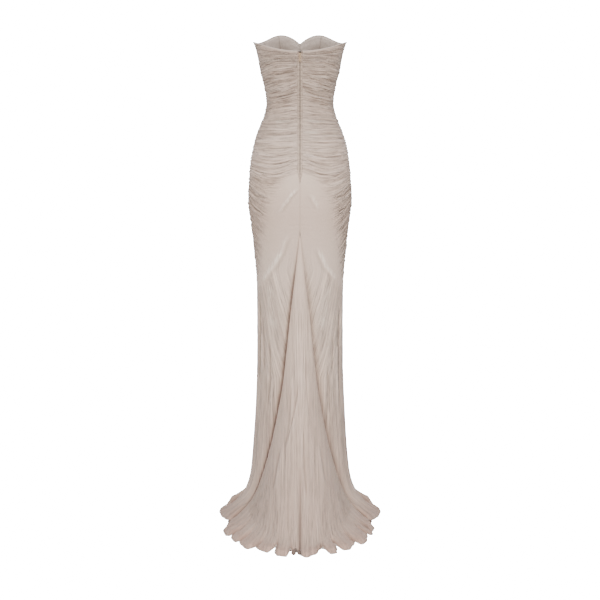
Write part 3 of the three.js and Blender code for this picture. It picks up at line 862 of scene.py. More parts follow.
# Girths between which the ruching sets in and ends, the zip's folded edge becomes a seam and the godet opens
RUCHE_TOP = 0.5
RUCHE_END = (19.4, 20.2)
ZIP_TO_SEAM = (12.5, 13.4)
GODET_OPENS = (16, 18.5)
# Width and depth of the groove beside the godet, on the wearer's left and right, and how it fades downwards
GODET_GROOVE = {1: (7, 5.4), -1: (11, 2.8)}
GROOVE_FADE = {"share": 0.55, "from": 27.5, "to": 31}
CENTRE_SEAM = {"width": 2.4, "depth": 1, "beside_zip": 0.3}


def back_panel(name, side, creases, glints, seed):
    """A back panel. side is 1 for the wearer's left, made as it is, and -1 for the right, mirrored."""
    at, across = np.meshgrid(rows_from(0), np.linspace(0, 1, COLUMNS["body"]), indexing="ij")
    points = back_surface(at, across)
    from_seam = lengths(points, 1)
    to_edge = from_seam[:, -1:] - from_seam
    down = lengths(points, 0)
    over = finer_below(fold_height(points[..., 0], points[..., 2], girth(at)["half"], BACK_FOLDS))
    drawn = ruche(at, across) * smooth(0, RUCHE_TOP, at) * (1 - smooth(*RUCHE_END, at))
    below_zip = smooth(*ZIP_TO_SEAM, at)
    sewn = mix(smooth(0, 3.5, to_edge), 1, below_zip)
    off = gathers(-from_seam, over, seed + 20 * side) * drawn * fullness(points, at, from_seam) * sewn
    leaning = LEAN["share"] * np.clip(LEAN["top"] - points[..., 2], 0, LEAN["top"] - LEAN["end"])
    over_pleats = unspread(from_seam, at) - leaning
    spread = let_go(points)
    off = off + pleats(over_pleats, down, seed + 30 + side) * spread * flattened(at)
    off = off + creased(points, creases) * sewn + seam_dip(from_seam, *SIDE_SEAM)
    groove = smooth(*GODET_OPENS, at)
    wide, deep = GODET_GROOVE[side]
    wide = mix(CENTRE_SEAM["width"], wide, groove)
    deep = deep * (1 - GROOVE_FADE["share"] * smooth(GROOVE_FADE["from"], GROOVE_FADE["to"], at))
    deep = mix(CENTRE_SEAM["depth"], deep, groove) * mix(CENTRE_SEAM["beside_zip"], 1, below_zip)
    off = off + seam_dip(to_edge, wide, deep)
    moved, pinch = shaped(points, at, across, directions(points, -1), off, HEM_BACK)
    maps = cloth_maps(-from_seam, over, over_pleats, down)
    values = cloth_values(at, off - GROOVE["depth"] * pinch, drawn, spread, glinting(points, glints))
    return mirrored_cloth(name, moved, maps, values, side)


left_back, left_back_points = back_panel("left_back", 1, LEFT_CREASES, LEFT_GLINTS, GATHER_SEED)
right_back, right_back_points = back_panel("right_back", -1, RIGHT_CREASES, RIGHT_GLINTS, GATHER_SEED)
for piece in (left_back, right_back):
    print(piece.name, len(piece.data.polygons) * 2, "triangles")

# %% [markdown]
# ## The godet
#
# The godet is a flared inset in two halves, narrow at its point and as wide as the train at the floor,
# with its own pleats. Its seam allowance lies inside the backs, so the first column of each half is that
# allowance, behind the back's edge. The next one is the seam, and it takes the back's own line, because
# two sheets that only come near each other would leave slits of light.

# %% Godet
GODET_SEEDS = {"left": 71, "right": 82}
# Where the seam allowance ends: share of the back's width and how far behind it
ALLOWANCE = {"inside": 0.955, "behind": 3, "step": 0.01}
# Girths between which the pleats set in and the groove beside the seam grows to its full size
GODET_SPREAD = (17, 19)
GODET_SEAM = (16.5, 18.5)
HALVES_APART = 300  # the two halves read their pleats this far apart, so they differ
# The seam in the middle of the train: width and depth of its dip above and at the end, and where that starts
MIDDLE_SEAM = {"wide": (1.6, 4), "deep": (0.4, 4.2), "end": (25.5, 28)}


def under_panel(at, shift):
    """The godet's seam allowance: a line inside the back's edge and behind it, moved as the seam is."""
    across = ALLOWANCE["inside"] + ALLOWANCE["step"] * np.array([[-1, 0, 1]])
    points = back_surface(at, across)
    out = directions(points, -1)[2]
    line = (points - ALLOWANCE["behind"] * out)[:, 1] + shift
    line[:, 2] = np.maximum(line[:, 2], FLOOR_CLEAR)
    return line


def godet_half(name, side, creases, hem, seed, panel, middle=None):
    """Half of the godet, from the seam beside the back to the middle of the train, where it meets the line
    of the other half."""
    at, across = np.meshgrid(rows_from(GODET_START), np.linspace(0, 1, COLUMNS["godet"]), indexing="ij")
    points = godet_surface(at, across)
    from_seam = lengths(points, 1)
    to_middle = from_seam[:, -1:] - from_seam
    down = lengths(points, 0)
    spread = smooth(*GODET_SPREAD, at)
    over = unspread(to_middle[:, ::-1], at, GODET_FLARE_START)[:, ::-1]
    off = pleats(over + HALVES_APART * side, down, seed) * spread * flattened(at)
    off = off + creased(points, creases)
    groove = smooth(*GODET_SEAM, at)
    wide, deep = GODET_GROOVE[side]
    off = off + seam_dip(from_seam, mix(2, 0.5 * wide, groove), mix(0.4, 0.4 * deep, groove))
    end = smooth(*MIDDLE_SEAM["end"], at)
    off = off + seam_dip(to_middle, mix(*MIDDLE_SEAM["wide"], end), mix(*MIDDLE_SEAM["deep"], end))
    moved, pinch = shaped(points, at, across, directions(points, -1), off, hem)
    seam = panel[:, -1] * [side, 1, 1]
    line = np.stack([np.interp(at[:, 0], rows_from(0), seam[:, i]) for i in range(3)], 1)
    moved = sewn_to(moved[:, 1:], line)
    if middle is not None:
        moved = sewn_to(moved[:, ::-1], middle)[:, ::-1]
    moved = np.concatenate([moved[:, :1], moved], 1)
    allowance = under_panel(at[:, :1], line - points[:, 0])
    moved[:, 0] = np.where(at[:, :1] < EDGE_ROUNDED, allowance, moved[:, 0])
    maps = cloth_maps(over, down, over, down)
    flat = np.zeros(at.shape)
    values = cloth_values(at, off - GROOVE["depth"] * pinch, flat, spread, flat)
    return mirrored_cloth(name, moved, maps, values, side)


left_godet, left_godet_points = godet_half(
    "left_godet", 1, GODET_LEFT_CREASES, HEM_GODET_LEFT, GODET_SEEDS["left"], left_back_points,
)
right_godet, right_godet_points = godet_half(
    "right_godet", -1, GODET_RIGHT_CREASES, HEM_GODET_RIGHT, GODET_SEEDS["right"], right_back_points,
    left_godet_points[:, -1] * [-1, 1, 1],
)
for piece in (left_godet, right_godet):
    print(piece.name, len(piece.data.polygons) * 2, "triangles")

# %% [markdown]
# ## The front
#
# The photo doesn't show the front, so it is made like the backs: the gathers and pleats that reach the
# side seams carry on across them, the belly is as smooth as the V below the zip, and a few creases of its
# own run between the cups and at the waist.

# %% Front
FRONT_BLEND = (0.4, 0.6)  # where the folds from the left seam turn into the ones from the right
RUCHED_EARLIER = 2.2  # by so many girths the front is ruched all across further down than the backs
FRONT_RUCHE_END = (19.4, 21.4)
FRONT_CRUSH = 0.14  # how strongly the smooth middle is still crushed
FRONT_LET_GO = 110


def front_panel(name, seed, left_line, right_line):
    """The front, whose folds carry on from the backs' across the side seams."""
    at, across = np.meshgrid(rows_from(0), np.linspace(0, 1, COLUMNS["body"]), indexing="ij")
    points = front_surface(at, across)
    from_left = lengths(points, 1)
    from_right = from_left[:, -1:] - from_left
    from_seam = np.minimum(from_left, from_right)
    down = lengths(points, 0)
    over = finer_below(fold_height(points[..., 0], points[..., 2], girth(at)["half"], FRONT_FOLDS))
    from_side = 2 * np.minimum(across, 1 - across)
    drawn = ruche(np.maximum(at - RUCHED_EARLIER, 0), from_side) * smooth(0, RUCHE_TOP, at)
    drawn = drawn * mix(1, 0.75, smooth(*BELOW_ZIP, at)) * (1 - smooth(*FRONT_RUCHE_END, at))
    drawn = np.maximum(drawn, FRONT_CRUSH * (1 - let_go(points)))
    share = smooth(*FRONT_BLEND, across)
    ruched = mix(gathers(from_left, over, seed + 20), gathers(from_right, over, seed - 20), share)
    spread = let_go(points, FRONT_LET_GO)
    pleat_from_left = unspread(from_left, at)
    pleat_from_right = unspread(from_right[:, ::-1], at)[:, ::-1]
    left_pleats = pleats(pleat_from_left, down, seed + 31)
    straight = mix(left_pleats, pleats(pleat_from_right, down, seed + 29), share)
    off = ruched * drawn + straight * spread * flattened(at) + creased(points, FRONT_CREASES)
    off = off + seam_dip(from_seam, *SIDE_SEAM)
    moved, pinch = shaped(points, at, across, directions(points, 1), off, HEM_FRONT)
    moved = sewn_to(moved, left_line)
    moved = sewn_to(moved[:, ::-1], right_line)[:, ::-1]
    maps = cloth_maps(from_left, over, pleat_from_left, down)
    values = cloth_values(at, off - GROOVE["depth"] * pinch, drawn, spread, np.zeros(at.shape))
    return cloth(name, moved, maps, values, inside_out=True), moved


front, front_points = front_panel("front", GATHER_SEED, left_back_points[:, 0], right_back_points[:, 0])
print(front.name, len(front.data.polygons) * 2, "triangles")

# %% [markdown]
# ## Rolled edges
#
# Chiffon is too thin to turn up, so its raw edge is rolled between finger and thumb into a narrow cord
# and stitched. The roll catches the light along the neckline and round every tongue of the hem. A tube
# along the edge of each sheet is that roll, and it also hides that the sheet itself has no thickness.
# Solidify would thicken the whole sheet instead, which doubles its faces and still leaves a square edge.

# %% A tube along a path


def tube(name, path, radius, sides=8):
    """A closed tube along a path of points, with round capped ends."""
    ways = np.gradient(path, axis=0)
    ways /= np.linalg.norm(ways, axis=1, keepdims=True)
    up = np.array([0, 0, 1.0])
    first = np.cross(ways, up)
    weak = np.linalg.norm(first, axis=1) < 0.2
    first[weak] = np.cross(ways[weak], [0, 1.0, 0])
    first /= np.linalg.norm(first, axis=1, keepdims=True)
    second = np.cross(ways, first)
    turn = np.linspace(0, 2 * math.pi, sides, endpoint=False)
    ring = np.cos(turn)[None, :, None] * first[:, None] + np.sin(turn)[None, :, None] * second[:, None]
    wide = np.broadcast_to(np.asarray(radius, float), len(path))
    rings = path[:, None] + ring * wide[:, None, None]
    ends = np.stack([path[0] - ways[0] * wide[0] * 0.6, path[-1] + ways[-1] * wide[-1] * 0.6])
    points = np.concatenate([rings.reshape(-1, 3), ends])
    faces = []
    count = len(path)
    for i in range(count - 1):
        for j in range(sides):
            k = (j + 1) % sides
            faces.append((i * sides + j, i * sides + k, (i + 1) * sides + k, (i + 1) * sides + j))
    for j in range(sides):
        k = (j + 1) % sides
        faces.append((count * sides, k, j))
        faces.append((count * sides + 1, (count - 1) * sides + j, (count - 1) * sides + k))
    mesh = bpy.data.meshes.new(name)
    mesh.from_pydata(placed(points), [], faces)
    mesh.shade_smooth()
    piece = bpy.data.objects.new(name, mesh)
    bpy.context.scene.collection.objects.link(piece)
    return piece


def evenly(path, step):
    """A path of points a step apart."""
    gone = np.concatenate([[0], np.cumsum(np.linalg.norm(np.diff(path, axis=0), axis=1))])
    places = np.linspace(0, gone[-1], max(int(gone[-1] / step), 2))
    return np.stack([np.interp(places, gone, path[:, i]) for i in range(3)], 1)


print("points on 30 mm, 3 mm apart:", len(evenly(np.array([[0, 0, 0], [30.0, 0, 0]]), 3)))

# %% Rolls
ROLL_RADIUS = 1.3
HEM_RADIUS = 1.1
ROLL_STEP = {"hem": 2.5, "top": 3}  # how far apart the rings of a roll are
PANELS = {
    "left_back": left_back_points,
    "right_back": right_back_points,
    "left_godet": left_godet_points,
    "right_godet": right_godet_points,
    "front": front_points,
}
rolls_of = {}
for name, points in PANELS.items():
    rolls_of[name] = [tube(name + "_hem_roll", evenly(points[-1], ROLL_STEP["hem"]), HEM_RADIUS, sides=6)]
    if "godet" not in name:
        rolls_of[name].append(tube(name + "_top_roll", evenly(points[0], ROLL_STEP["top"]), ROLL_RADIUS))
rolls = sum(rolls_of.values(), [])
print("rolled edges:", len(rolls))

# %% [markdown]
# ## Turned ends
#
# Where a seam meets the hem, its allowances are turned under in a small curl, coloured dark as painted
# shade. There are five: one at each side of the train and three in its middle. Each is a short tube that
# thickens towards its open end.
# They could be painted on, but they stand free of the cloth and show against the floor.

# %% Curls
# Name, points on the floor, thickness
CURLS = [
    ("left_seam_curl", [(196, 196), (206, 208), (214, 220), (217, 227)], 4.4),
    ("right_seam_curl", [(-198, 196), (-207, 206), (-214, 216), (-217, 223)], 4),
    ("middle_curl", [(12, 556), (15, 570), (18, 582), (17, 592)], 7),
    ("middle_left_curl", [(8, 550), (6, 564), (3, 578), (2, 588)], 4.6),
    ("middle_right_curl", [(-4, 548), (-6, 560), (-8, 572), (-8, 580)], 4),
]


def curl(name, line, thick):
    """A seam's end rolled into a small cone, thickest at its open end."""
    line = np.array(line, float)
    path = evenly(np.column_stack([line, np.full(len(line), FLOOR_CLEAR + thick)]), 1.5)
    share = np.linspace(0, 1, len(path))
    wide = thick * (0.75 + 0.25 * share) * (1 + 0.08 * np.sin(26 * share))
    wide[-2:] = thick * np.array([0.85, 0.5])
    return tube(name, path, wide, sides=14)


curls = [curl(*one) for one in CURLS]
print("turned ends:", len(curls))

# %% [markdown]
# ## Lining of the cups
#
# Over the low back neckline the inside of the front shows. It is a plain, smooth lining with a seam down
# each cup and one at the centre, where the cups meet. The front's own silk is turned over its top edge
# and caught down on it. Both are the front's surface again, moved inwards.

# %% Lining
LINING_DEPTH = 7.2
LINING_END = 3.1
CUP_SEAMS = (0.2, 0.34, 0.5, 0.66, 0.8)
CUP_SEAM_WIDTH = 0.0035
LINING_ENDS = (0.004, 0.996)  # shares of the way round, just inside the side seams


def lining(name):
    at, across = np.meshgrid(np.linspace(0, LINING_END, 70), np.linspace(*LINING_ENDS, 180), indexing="ij")
    points = front_surface(at, across)
    out = directions(points, 1)[2]
    depth = 0.4 + (LINING_DEPTH - 0.4) * smooth(0, 0.3, at)
    seams = sum(np.exp(-(((across - seam) / CUP_SEAM_WIDTH) ** 2)) for seam in CUP_SEAMS)
    pucker = 0.5 * noise(across * 70, at * 2, 5) + 0.9 * noise(across * 16, at * 3, 6)
    # Painted shade towards the side seams
    sides = 2.5 * (1 - smooth(0.02, 0.17, np.minimum(across, 1 - across)))
    depth = depth - 1.1 * seams * smooth(0.1, 0.5, at) + pucker * smooth(0.1, 0.7, at)
    points = points - out * depth[..., None]
    down = lengths(points, 0)
    gone = lengths(points, 1)
    maps = cloth_maps(gone, down, gone, down)
    # Painted shade, kept in the fold value: darker along the seams, deeper in the cup and towards the sides
    shade = 2 - 5 * seams - 4 * smooth(0.4, 1.6, at) - sides
    return cloth(name, points, maps, {"fold": shade})


front_lining = lining("cup_lining")
print("lining:", len(front_lining.data.polygons) * 2, "triangles")

# %% Facing
FACING = {"wide": 0.48, "lift": 1.1}


def facing(name):
    """The front's own silk, turned over its top edge and caught down on the lining."""
    at, across = np.meshgrid(np.linspace(0, FACING["wide"], 9), np.linspace(*LINING_ENDS, 240), indexing="ij")
    points = front_surface(at, across)
    out = directions(points, 1)[2]
    depth = 0.2 + (LINING_DEPTH - FACING["lift"]) * smooth(0, 0.3, at)
    pucker = 0.5 * noise(across * 90, at * 6, 11)
    points = points - out * (depth + pucker * smooth(0.05, 0.3, at))[..., None]
    gone = lengths(points, 1)
    down = lengths(points, 0)
    flat = np.zeros(at.shape)
    values = {"fold": pucker, "ruched": flat + 0.3, "pleated": flat, "glint": flat, "single": flat}
    return cloth(name, points, cloth_maps(down, gone, down, gone), values)


cup_facing = facing("cup_facing")
print("facing:", len(cup_facing.data.polygons) * 2, "triangles")

# %% [markdown]
# ## Plackets and tape
#
# The zip is sewn between two narrow plain strips of the gown's own cloth. Their inner edges are folded
# back beside the coil, and behind them is the tape. A strip is one profile swept down the centre back,
# drawn in to nothing where the zip ends.

# %% Strips beside the zip
PLACKET = {"near": 1.4, "far": 8.3, "off": 0.55}
ZIP_CLOSED = 12.98
TAPE = {"half": 7.2, "off": -3.5}
STRIP = {"step": 0.05, "room": 0.3, "ripple": 0.25, "inner": 2.5}
# The plackets stand apart beside the slider and draw closer under it: by which share and between which girths
CLOSER = {"share": 0.42, "from": 1.2, "to": 1.8}
# They meet over the zip's end: from how far above it, in girths, to how far
MEET = (0.55, 0.1)


def centre_back(at):
    """Points down the centre back."""
    g = girth(at)
    return np.stack([np.zeros(at.shape), g["back_y"], g["back_z"]], -1)


def strip(name, side, shape, top, end, seed):
    """A strip beside the zip, from a list of (x, off) across it. side is 0 for one that spans both sides."""
    at = np.arange(top, end, STRIP["step"])
    line = centre_back(at)
    room = STRIP["room"] + girth(at)["back_x"]
    x, off = np.array(shape).T
    points = np.repeat(line[:, None], len(x), 1)
    apart = np.ones(at.shape)
    if side:
        apart = 1 - smooth(ZIP_END - MEET[0], ZIP_END - MEET[1], at)
        apart = apart * (1 - CLOSER["share"] * smooth(CLOSER["from"], CLOSER["to"], at))
    inner = np.exp(-(((x - PLACKET["near"]) / STRIP["inner"]) ** 2))
    x_now = x - (PLACKET["near"] - 0.1) * inner * (1 - apart)[:, None]
    points[..., 0] = np.clip(x_now, -room[:, None], room[:, None])
    ripple = STRIP["ripple"] * noise(line[:, 2][:, None] / 14, x / 9, seed)
    points[..., 1] += off + ripple
    down = lengths(points, 0)
    across = np.broadcast_to(x, points.shape[:2])
    maps = cloth_maps(across, down, across, down)
    flat = np.zeros(points.shape[:2])
    values = {"fold": flat, "ruched": flat + 0.9, "pleated": flat, "glint": flat, "single": flat}
    return mirrored_cloth(name, points, maps, values, side or 1)[0]


print("top of the centre back:", np.round(centre_back(np.zeros(1))[0]), "mm")

# %% Plackets and tape
near = PLACKET["near"]
placket_shape = [
    (near + 1.2, -1.1), (near + 0.5, -0.9), (near + 0.1, -0.5), (near, -0.1), (near + 0.2, 0.25),
    (near + 0.7, 0.48), (near + 2.2, PLACKET["off"]), (near + 3.6, PLACKET["off"] - 0.1),
    (near + 5, PLACKET["off"] - 0.25), (PLACKET["far"] - 0.6, 0), (PLACKET["far"], -1.2),
]
plackets = [
    strip("left_placket", 1, placket_shape[::-1], 0, ZIP_CLOSED, 3),
    strip("right_placket", -1, placket_shape[::-1], 0, ZIP_CLOSED, 4),
]
tape_shape = [(x, TAPE["off"]) for x in np.linspace(TAPE["half"], -TAPE["half"], 12)]
zip_tape = strip("centre_tape", 0, tape_shape, 0.1, ZIP_CLOSED, 8)
print("plackets reach", PLACKET["near"], "to", PLACKET["far"], "mm from the centre")

# %% [markdown]
# ## Coil and top stitching
#
# The coil is one long flattened spring, closed over its whole length: a thin tube along a helix that is
# squashed towards the cloth. Beside it run four rows of top stitches. Each stitch is a short tube whose
# ends dip into the cloth, copied all the way down, and each row is joined to one piece.

# %% Coil
COIL = {"wide": 1.5, "deep": 0.55, "pitch": 1.6, "wire": 0.36, "off": -1.7}


def coil(name):
    """The zip's coil, a flattened spring down the centre back."""
    line = evenly(centre_back(np.linspace(0.3, ZIP_END - 0.1, 300)), 1)
    length = np.linalg.norm(np.diff(line, axis=0), axis=1).sum()
    turns = length / COIL["pitch"]
    place = np.linspace(0, 1, int(turns * 10))
    middle = np.stack([np.interp(place, np.linspace(0, 1, len(line)), line[:, i]) for i in range(3)], 1)
    turn = 2 * math.pi * turns * place
    middle[:, 0] += COIL["wide"] * np.cos(turn)
    middle[:, 1] += COIL["off"] + COIL["deep"] * np.sin(turn)
    return tube(name, middle, COIL["wire"], sides=5)


zip_coil = coil("zip_coil")
print("zip coil:", len(zip_coil.data.polygons), "faces")

# %% Top stitching
# Length of a stitch, the gap to the next one, the thread's radius and how deep its ends dip
STITCH = {"long": 2.6, "gap": 0.9, "thread": 0.4, "sag": 0.18}


def stitches(name, x, off, top, end):
    """A row of top stitches down the centre back."""
    bpy.ops.object.select_all(action="DESELECT")
    line = evenly(centre_back(np.linspace(top, end, 400)), STITCH["long"] + STITCH["gap"])
    sag = np.array([0, -STITCH["sag"], 0])
    pieces = []
    for here, following in zip(line[:-1], line[1:]):
        half = (following - here) / np.linalg.norm(following - here) * STITCH["long"] / 2
        start = here + [x, off, 0]
        path = [start + sag, start + half * 0.3, start + half, start + half * 1.7, start + 2 * half + sag]
        pieces.append(tube(name, np.array(path), STITCH["thread"], sides=5))
        pieces[-1].select_set(True)
    bpy.context.view_layer.objects.active = pieces[0]
    bpy.ops.object.join()
    return pieces[0]


top_stitch = PLACKET["off"] + 0.02
STITCH_ROWS = {"edge": (near + 1.2, top_stitch), "tape": (near + 4.6, top_stitch - 0.2)}
seams = [
    stitches(side + "_" + row + "_stitches", sign * x, off, 0.1, 12)
    for row, (x, off) in STITCH_ROWS.items()
    for side, sign in (("left", 1), ("right", -1))
]
print("rows of stitches:", len(seams))

# %% [markdown]
# ## Materials
#
# Finishes are made of nodes, and a small helper keeps each line of nodes short: it adds a node, sets its
# inputs and hands back its output. The same trees could be wired by hand in the Shader Editor. Colours
# are given as linear light.

# %% A short way to write nodes


class Nodes:
    """A short way to write a material's nodes."""

    def __init__(self, name):
        self.material = bpy.data.materials.new(name)
        self.material.use_nodes = True
        self.tree = self.material.node_tree
        self.shader = self.tree.nodes["Principled BSDF"]

    def add(self, kind, inputs=(), **settings):
        node = self.tree.nodes.new("ShaderNode" + kind)
        for setting, value in settings.items():
            setattr(node, setting, value)
        for socket, value in dict(inputs).items():
            self.put(node, socket, value)
        return node

    def put(self, node, socket, value):
        """Sets a socket to a number or colour, or links another node's output to it."""
        place = node.inputs[socket]
        if isinstance(value, bpy.types.NodeSocket):
            self.tree.links.new(value, place)
        else:
            place.default_value = value

    def maths(self, operation, a, b=0.5):
        return self.add("Math", {0: a, 1: b}, operation=operation).outputs[0]

    def value(self, name):
        return self.add("Attribute", attribute_name=name).outputs["Fac"]

    def cloth_map(self, name, scale):
        """A cloth map stretched so that one unit is one fold."""
        place = self.add("UVMap", uv_map=name).outputs[0]
        return self.add("Mapping", {"Vector": place, "Scale": scale}).outputs[0]

    def object_place(self, scale=(1, 1, 1)):
        place = self.add("TexCoord").outputs["Object"]
        return self.add("Mapping", {"Vector": place, "Scale": scale}).outputs[0]

    def noise(self, place, scale, detail=3, distortion=0.0):
        inputs = {"Vector": place, "Scale": scale, "Detail": detail, "Distortion": distortion}
        return self.add("TexNoise", inputs).outputs["Fac"]

    def billow(self, place, distortion=0.0):
        """Noise folded at its middle: round crowns with sharp valleys between, as in pressed cloth."""
        raw = self.noise(place, 1, 1, distortion)
        folded = self.maths("ABSOLUTE", self.maths("SUBTRACT", raw, 0.5))
        return self.maths("MINIMUM", self.maths("MULTIPLY", folded, 4.5), 1.0)

    def ramp(self, factor, stops):
        ramp = self.add("ValToRGB", {"Fac": factor})
        elements = ramp.color_ramp.elements
        while len(elements) < len(stops):
            elements.new(0.5)
        for element, (place, colour) in zip(elements, stops):
            element.position = place
            element.color = (*colour, 1)
        return ramp.outputs["Color"]

    def blend(self, factor, a, b, how="MIX"):
        mixed = self.add("Mix", {"Factor": factor}, data_type="RGBA", blend_type=how)
        self.put(mixed, 6, a)
        self.put(mixed, 7, b)
        return mixed.outputs[2]

    def bump(self, height, distance, strength=1.0, normal=None):
        inputs = {"Height": height, "Distance": distance, "Strength": strength}
        if normal is not None:
            inputs["Normal"] = normal
        return self.add("Bump", inputs).outputs["Normal"]


def finish(pieces, material):
    """Gives pieces one material."""
    for piece in pieces:
        piece.data.materials.clear()
        piece.data.materials.append(material)

# %% [markdown]
# ## Silk
#
# Silk chiffon is a greige, with painted shade in the hollow of a fold and a painted highlight on its crown,
# a pinker painted shade where it lies single, painted light and shade by height, painted streaks down the
# pleats and painted glints. The crush of the cloth is too fine to model, so it is relief in the material,
# and it follows the cloth: along the gathers where it is ruched and down the pleats where it falls free.

# %% Shades of silk
# Painted shade and highlight, from the bottom of a fold to its crown
SILK_FOLD_PAINTED_SHADE = [
    (0.0, (0.22, 0.155, 0.12)),
    (0.3, (0.43, 0.332, 0.264)),
    (0.58, (0.60, 0.472, 0.385)),
    (1.0, (0.72, 0.59, 0.50)),
]
FOLD_RANGE = (-4.5, 3.2)
# Painted light and shade by height over the waist in metres: lightest over the hips, darker above the
# waist and towards the hem
HEIGHT_PAINTED_LIGHT_RANGE = (-1.28, 0.22)
HEIGHT_PAINTED_LIGHT = [
    (-1.28, (0.885, 0.845, 0.84)),
    (-1.02, (0.885, 0.855, 0.85)),
    (-0.85, (1, 0.99, 0.985)),
    (-0.5, (0.99, 0.98, 0.975)),
    (-0.36, (0.95, 0.9, 0.88)),
    (-0.27, (1.04, 1.01, 0.99)),
    (-0.18, (1.13, 1.12, 1.125)),
    (-0.09, (1.05, 1.04, 1.04)),
    (-0.03, (0.875, 0.845, 0.83)),
    (0.02, (0.86, 0.84, 0.825)),
    (0.12, (0.86, 0.845, 0.835)),
]
PINK = (0.60, 0.40, 0.34, 1)
# Painted pinker shade where the cloth lies in a single layer near the hem
SINGLE_LAYER_PAINTED_SHADE = (0.80, 0.66, 0.63, 1)
# Colour of the painted highlights
GLINT = (0.94, 0.81, 0.67, 1)
# Painted light and dark streaks down the pleats, where their edges catch the light, narrow and wide
PLEAT_PAINTED_LIGHT = [(0.34, (0.86, 0.845, 0.83)), (0.5, (0.97, 0.965, 0.96)), (0.68, (1.13, 1.13, 1.13))]
WIDE_PLEAT_PAINTED_LIGHT = [(0.42, (0.95, 0.945, 0.94)), (0.7, (1.25, 1.25, 1.24))]
# Painted shade in the valleys of the crush and painted light on its crowns, wide and thin
CRUSH_PAINTED_SHADE = [(0.0, (0.5, 0.45, 0.42)), (0.22, (0.97, 0.97, 0.97)), (0.9, (1.1, 1.1, 1.1))]
THIN_CRUSH_PAINTED_SHADE = [(0.0, (0.74, 0.71, 0.69)), (0.3, (1, 1, 1)), (0.9, (1.06, 1.06, 1.06))]
# Relief of the crush: which map, folds to a metre along and over it, how distorted, height in metres
RELIEFS = [
    ("gathers", (7, 112, 1), 0.5, 0.0022),
    ("gathers", (10, 200, 1), 0.3, 0.0014),
    ("gathers", (34, 430, 1), 0.2, 0.0008),
    ("pleats", (150, 3.5, 1), 0.25, 0.0018),
    ("pleats", (360, 12, 1), 0.3, 0.0008),
]
WEAVE = {"scale": 1500, "height": 0.00012}
print("tones:", len(HEIGHT_PAINTED_LIGHT), "and reliefs:", len(RELIEFS))

# %% Colour and light of silk


def silk_tone(n, fold, height, painted_light_tint):
    """The silk's colour in patches, with painted shade and light by fold depth, single layer and height."""
    fold_painted_shade = [(place, [own * by for own, by in zip(colour, painted_light_tint)]) for place, colour in SILK_FOLD_PAINTED_SHADE]
    # Painted shade in the valleys of the folds and a painted highlight on their crowns
    base = n.ramp(fold, fold_painted_shade)
    patches = n.noise(n.object_place((1, 1, 0.6)), 14, 4)
    warm = n.blend(n.maths("MULTIPLY", patches, 0.2), base, PINK, "MULTIPLY")
    # Painted pinker shade where the cloth lies single
    warm = n.blend(n.maths("MULTIPLY", n.value("single"), 0.5), warm, SINGLE_LAYER_PAINTED_SHADE, "MULTIPLY")
    # Painted light and shade by height
    low, high = HEIGHT_PAINTED_LIGHT_RANGE
    share = n.add("MapRange", {"Value": height, "From Min": low, "From Max": high}).outputs[0]
    height_light = n.ramp(share, [((place - low) / (high - low), colour) for place, colour in HEIGHT_PAINTED_LIGHT])
    return n.blend(1.0, warm, height_light, "MULTIPLY"), patches


def silk_pleat_painted_light(n, pleat_light_strength):
    """Painted light and dark streaks down the pleats, where their edges catch the light."""
    streak_light = n.ramp(n.noise(n.cloth_map("pleats", (260, 5, 1)), 1, 2), PLEAT_PAINTED_LIGHT)
    wide_light = n.ramp(n.noise(n.cloth_map("pleats", (60, 4.5, 1)), 1, 2), WIDE_PLEAT_PAINTED_LIGHT)
    return n.blend(pleat_light_strength, streak_light, n.blend(1.0, streak_light, wide_light, "MULTIPLY"))


def silk_glint(n, ruched):
    """How strongly the painted highlight shows, broken into short strokes along the pleats or the gathers."""
    strokes = n.noise(n.cloth_map("pleats", (190, 30, 1)), 1, 2)
    strokes = n.blend(ruched, strokes, n.noise(n.cloth_map("gathers", (11, 150, 1)), 1, 2))
    broken = n.ramp(strokes, [(0.46, (0, 0, 0)), (0.56, (1, 1, 1))])
    return n.maths("MULTIPLY", n.value("glint"), n.maths("ADD", n.maths("MULTIPLY", broken, 0.62), 0.03))

# %% Silk


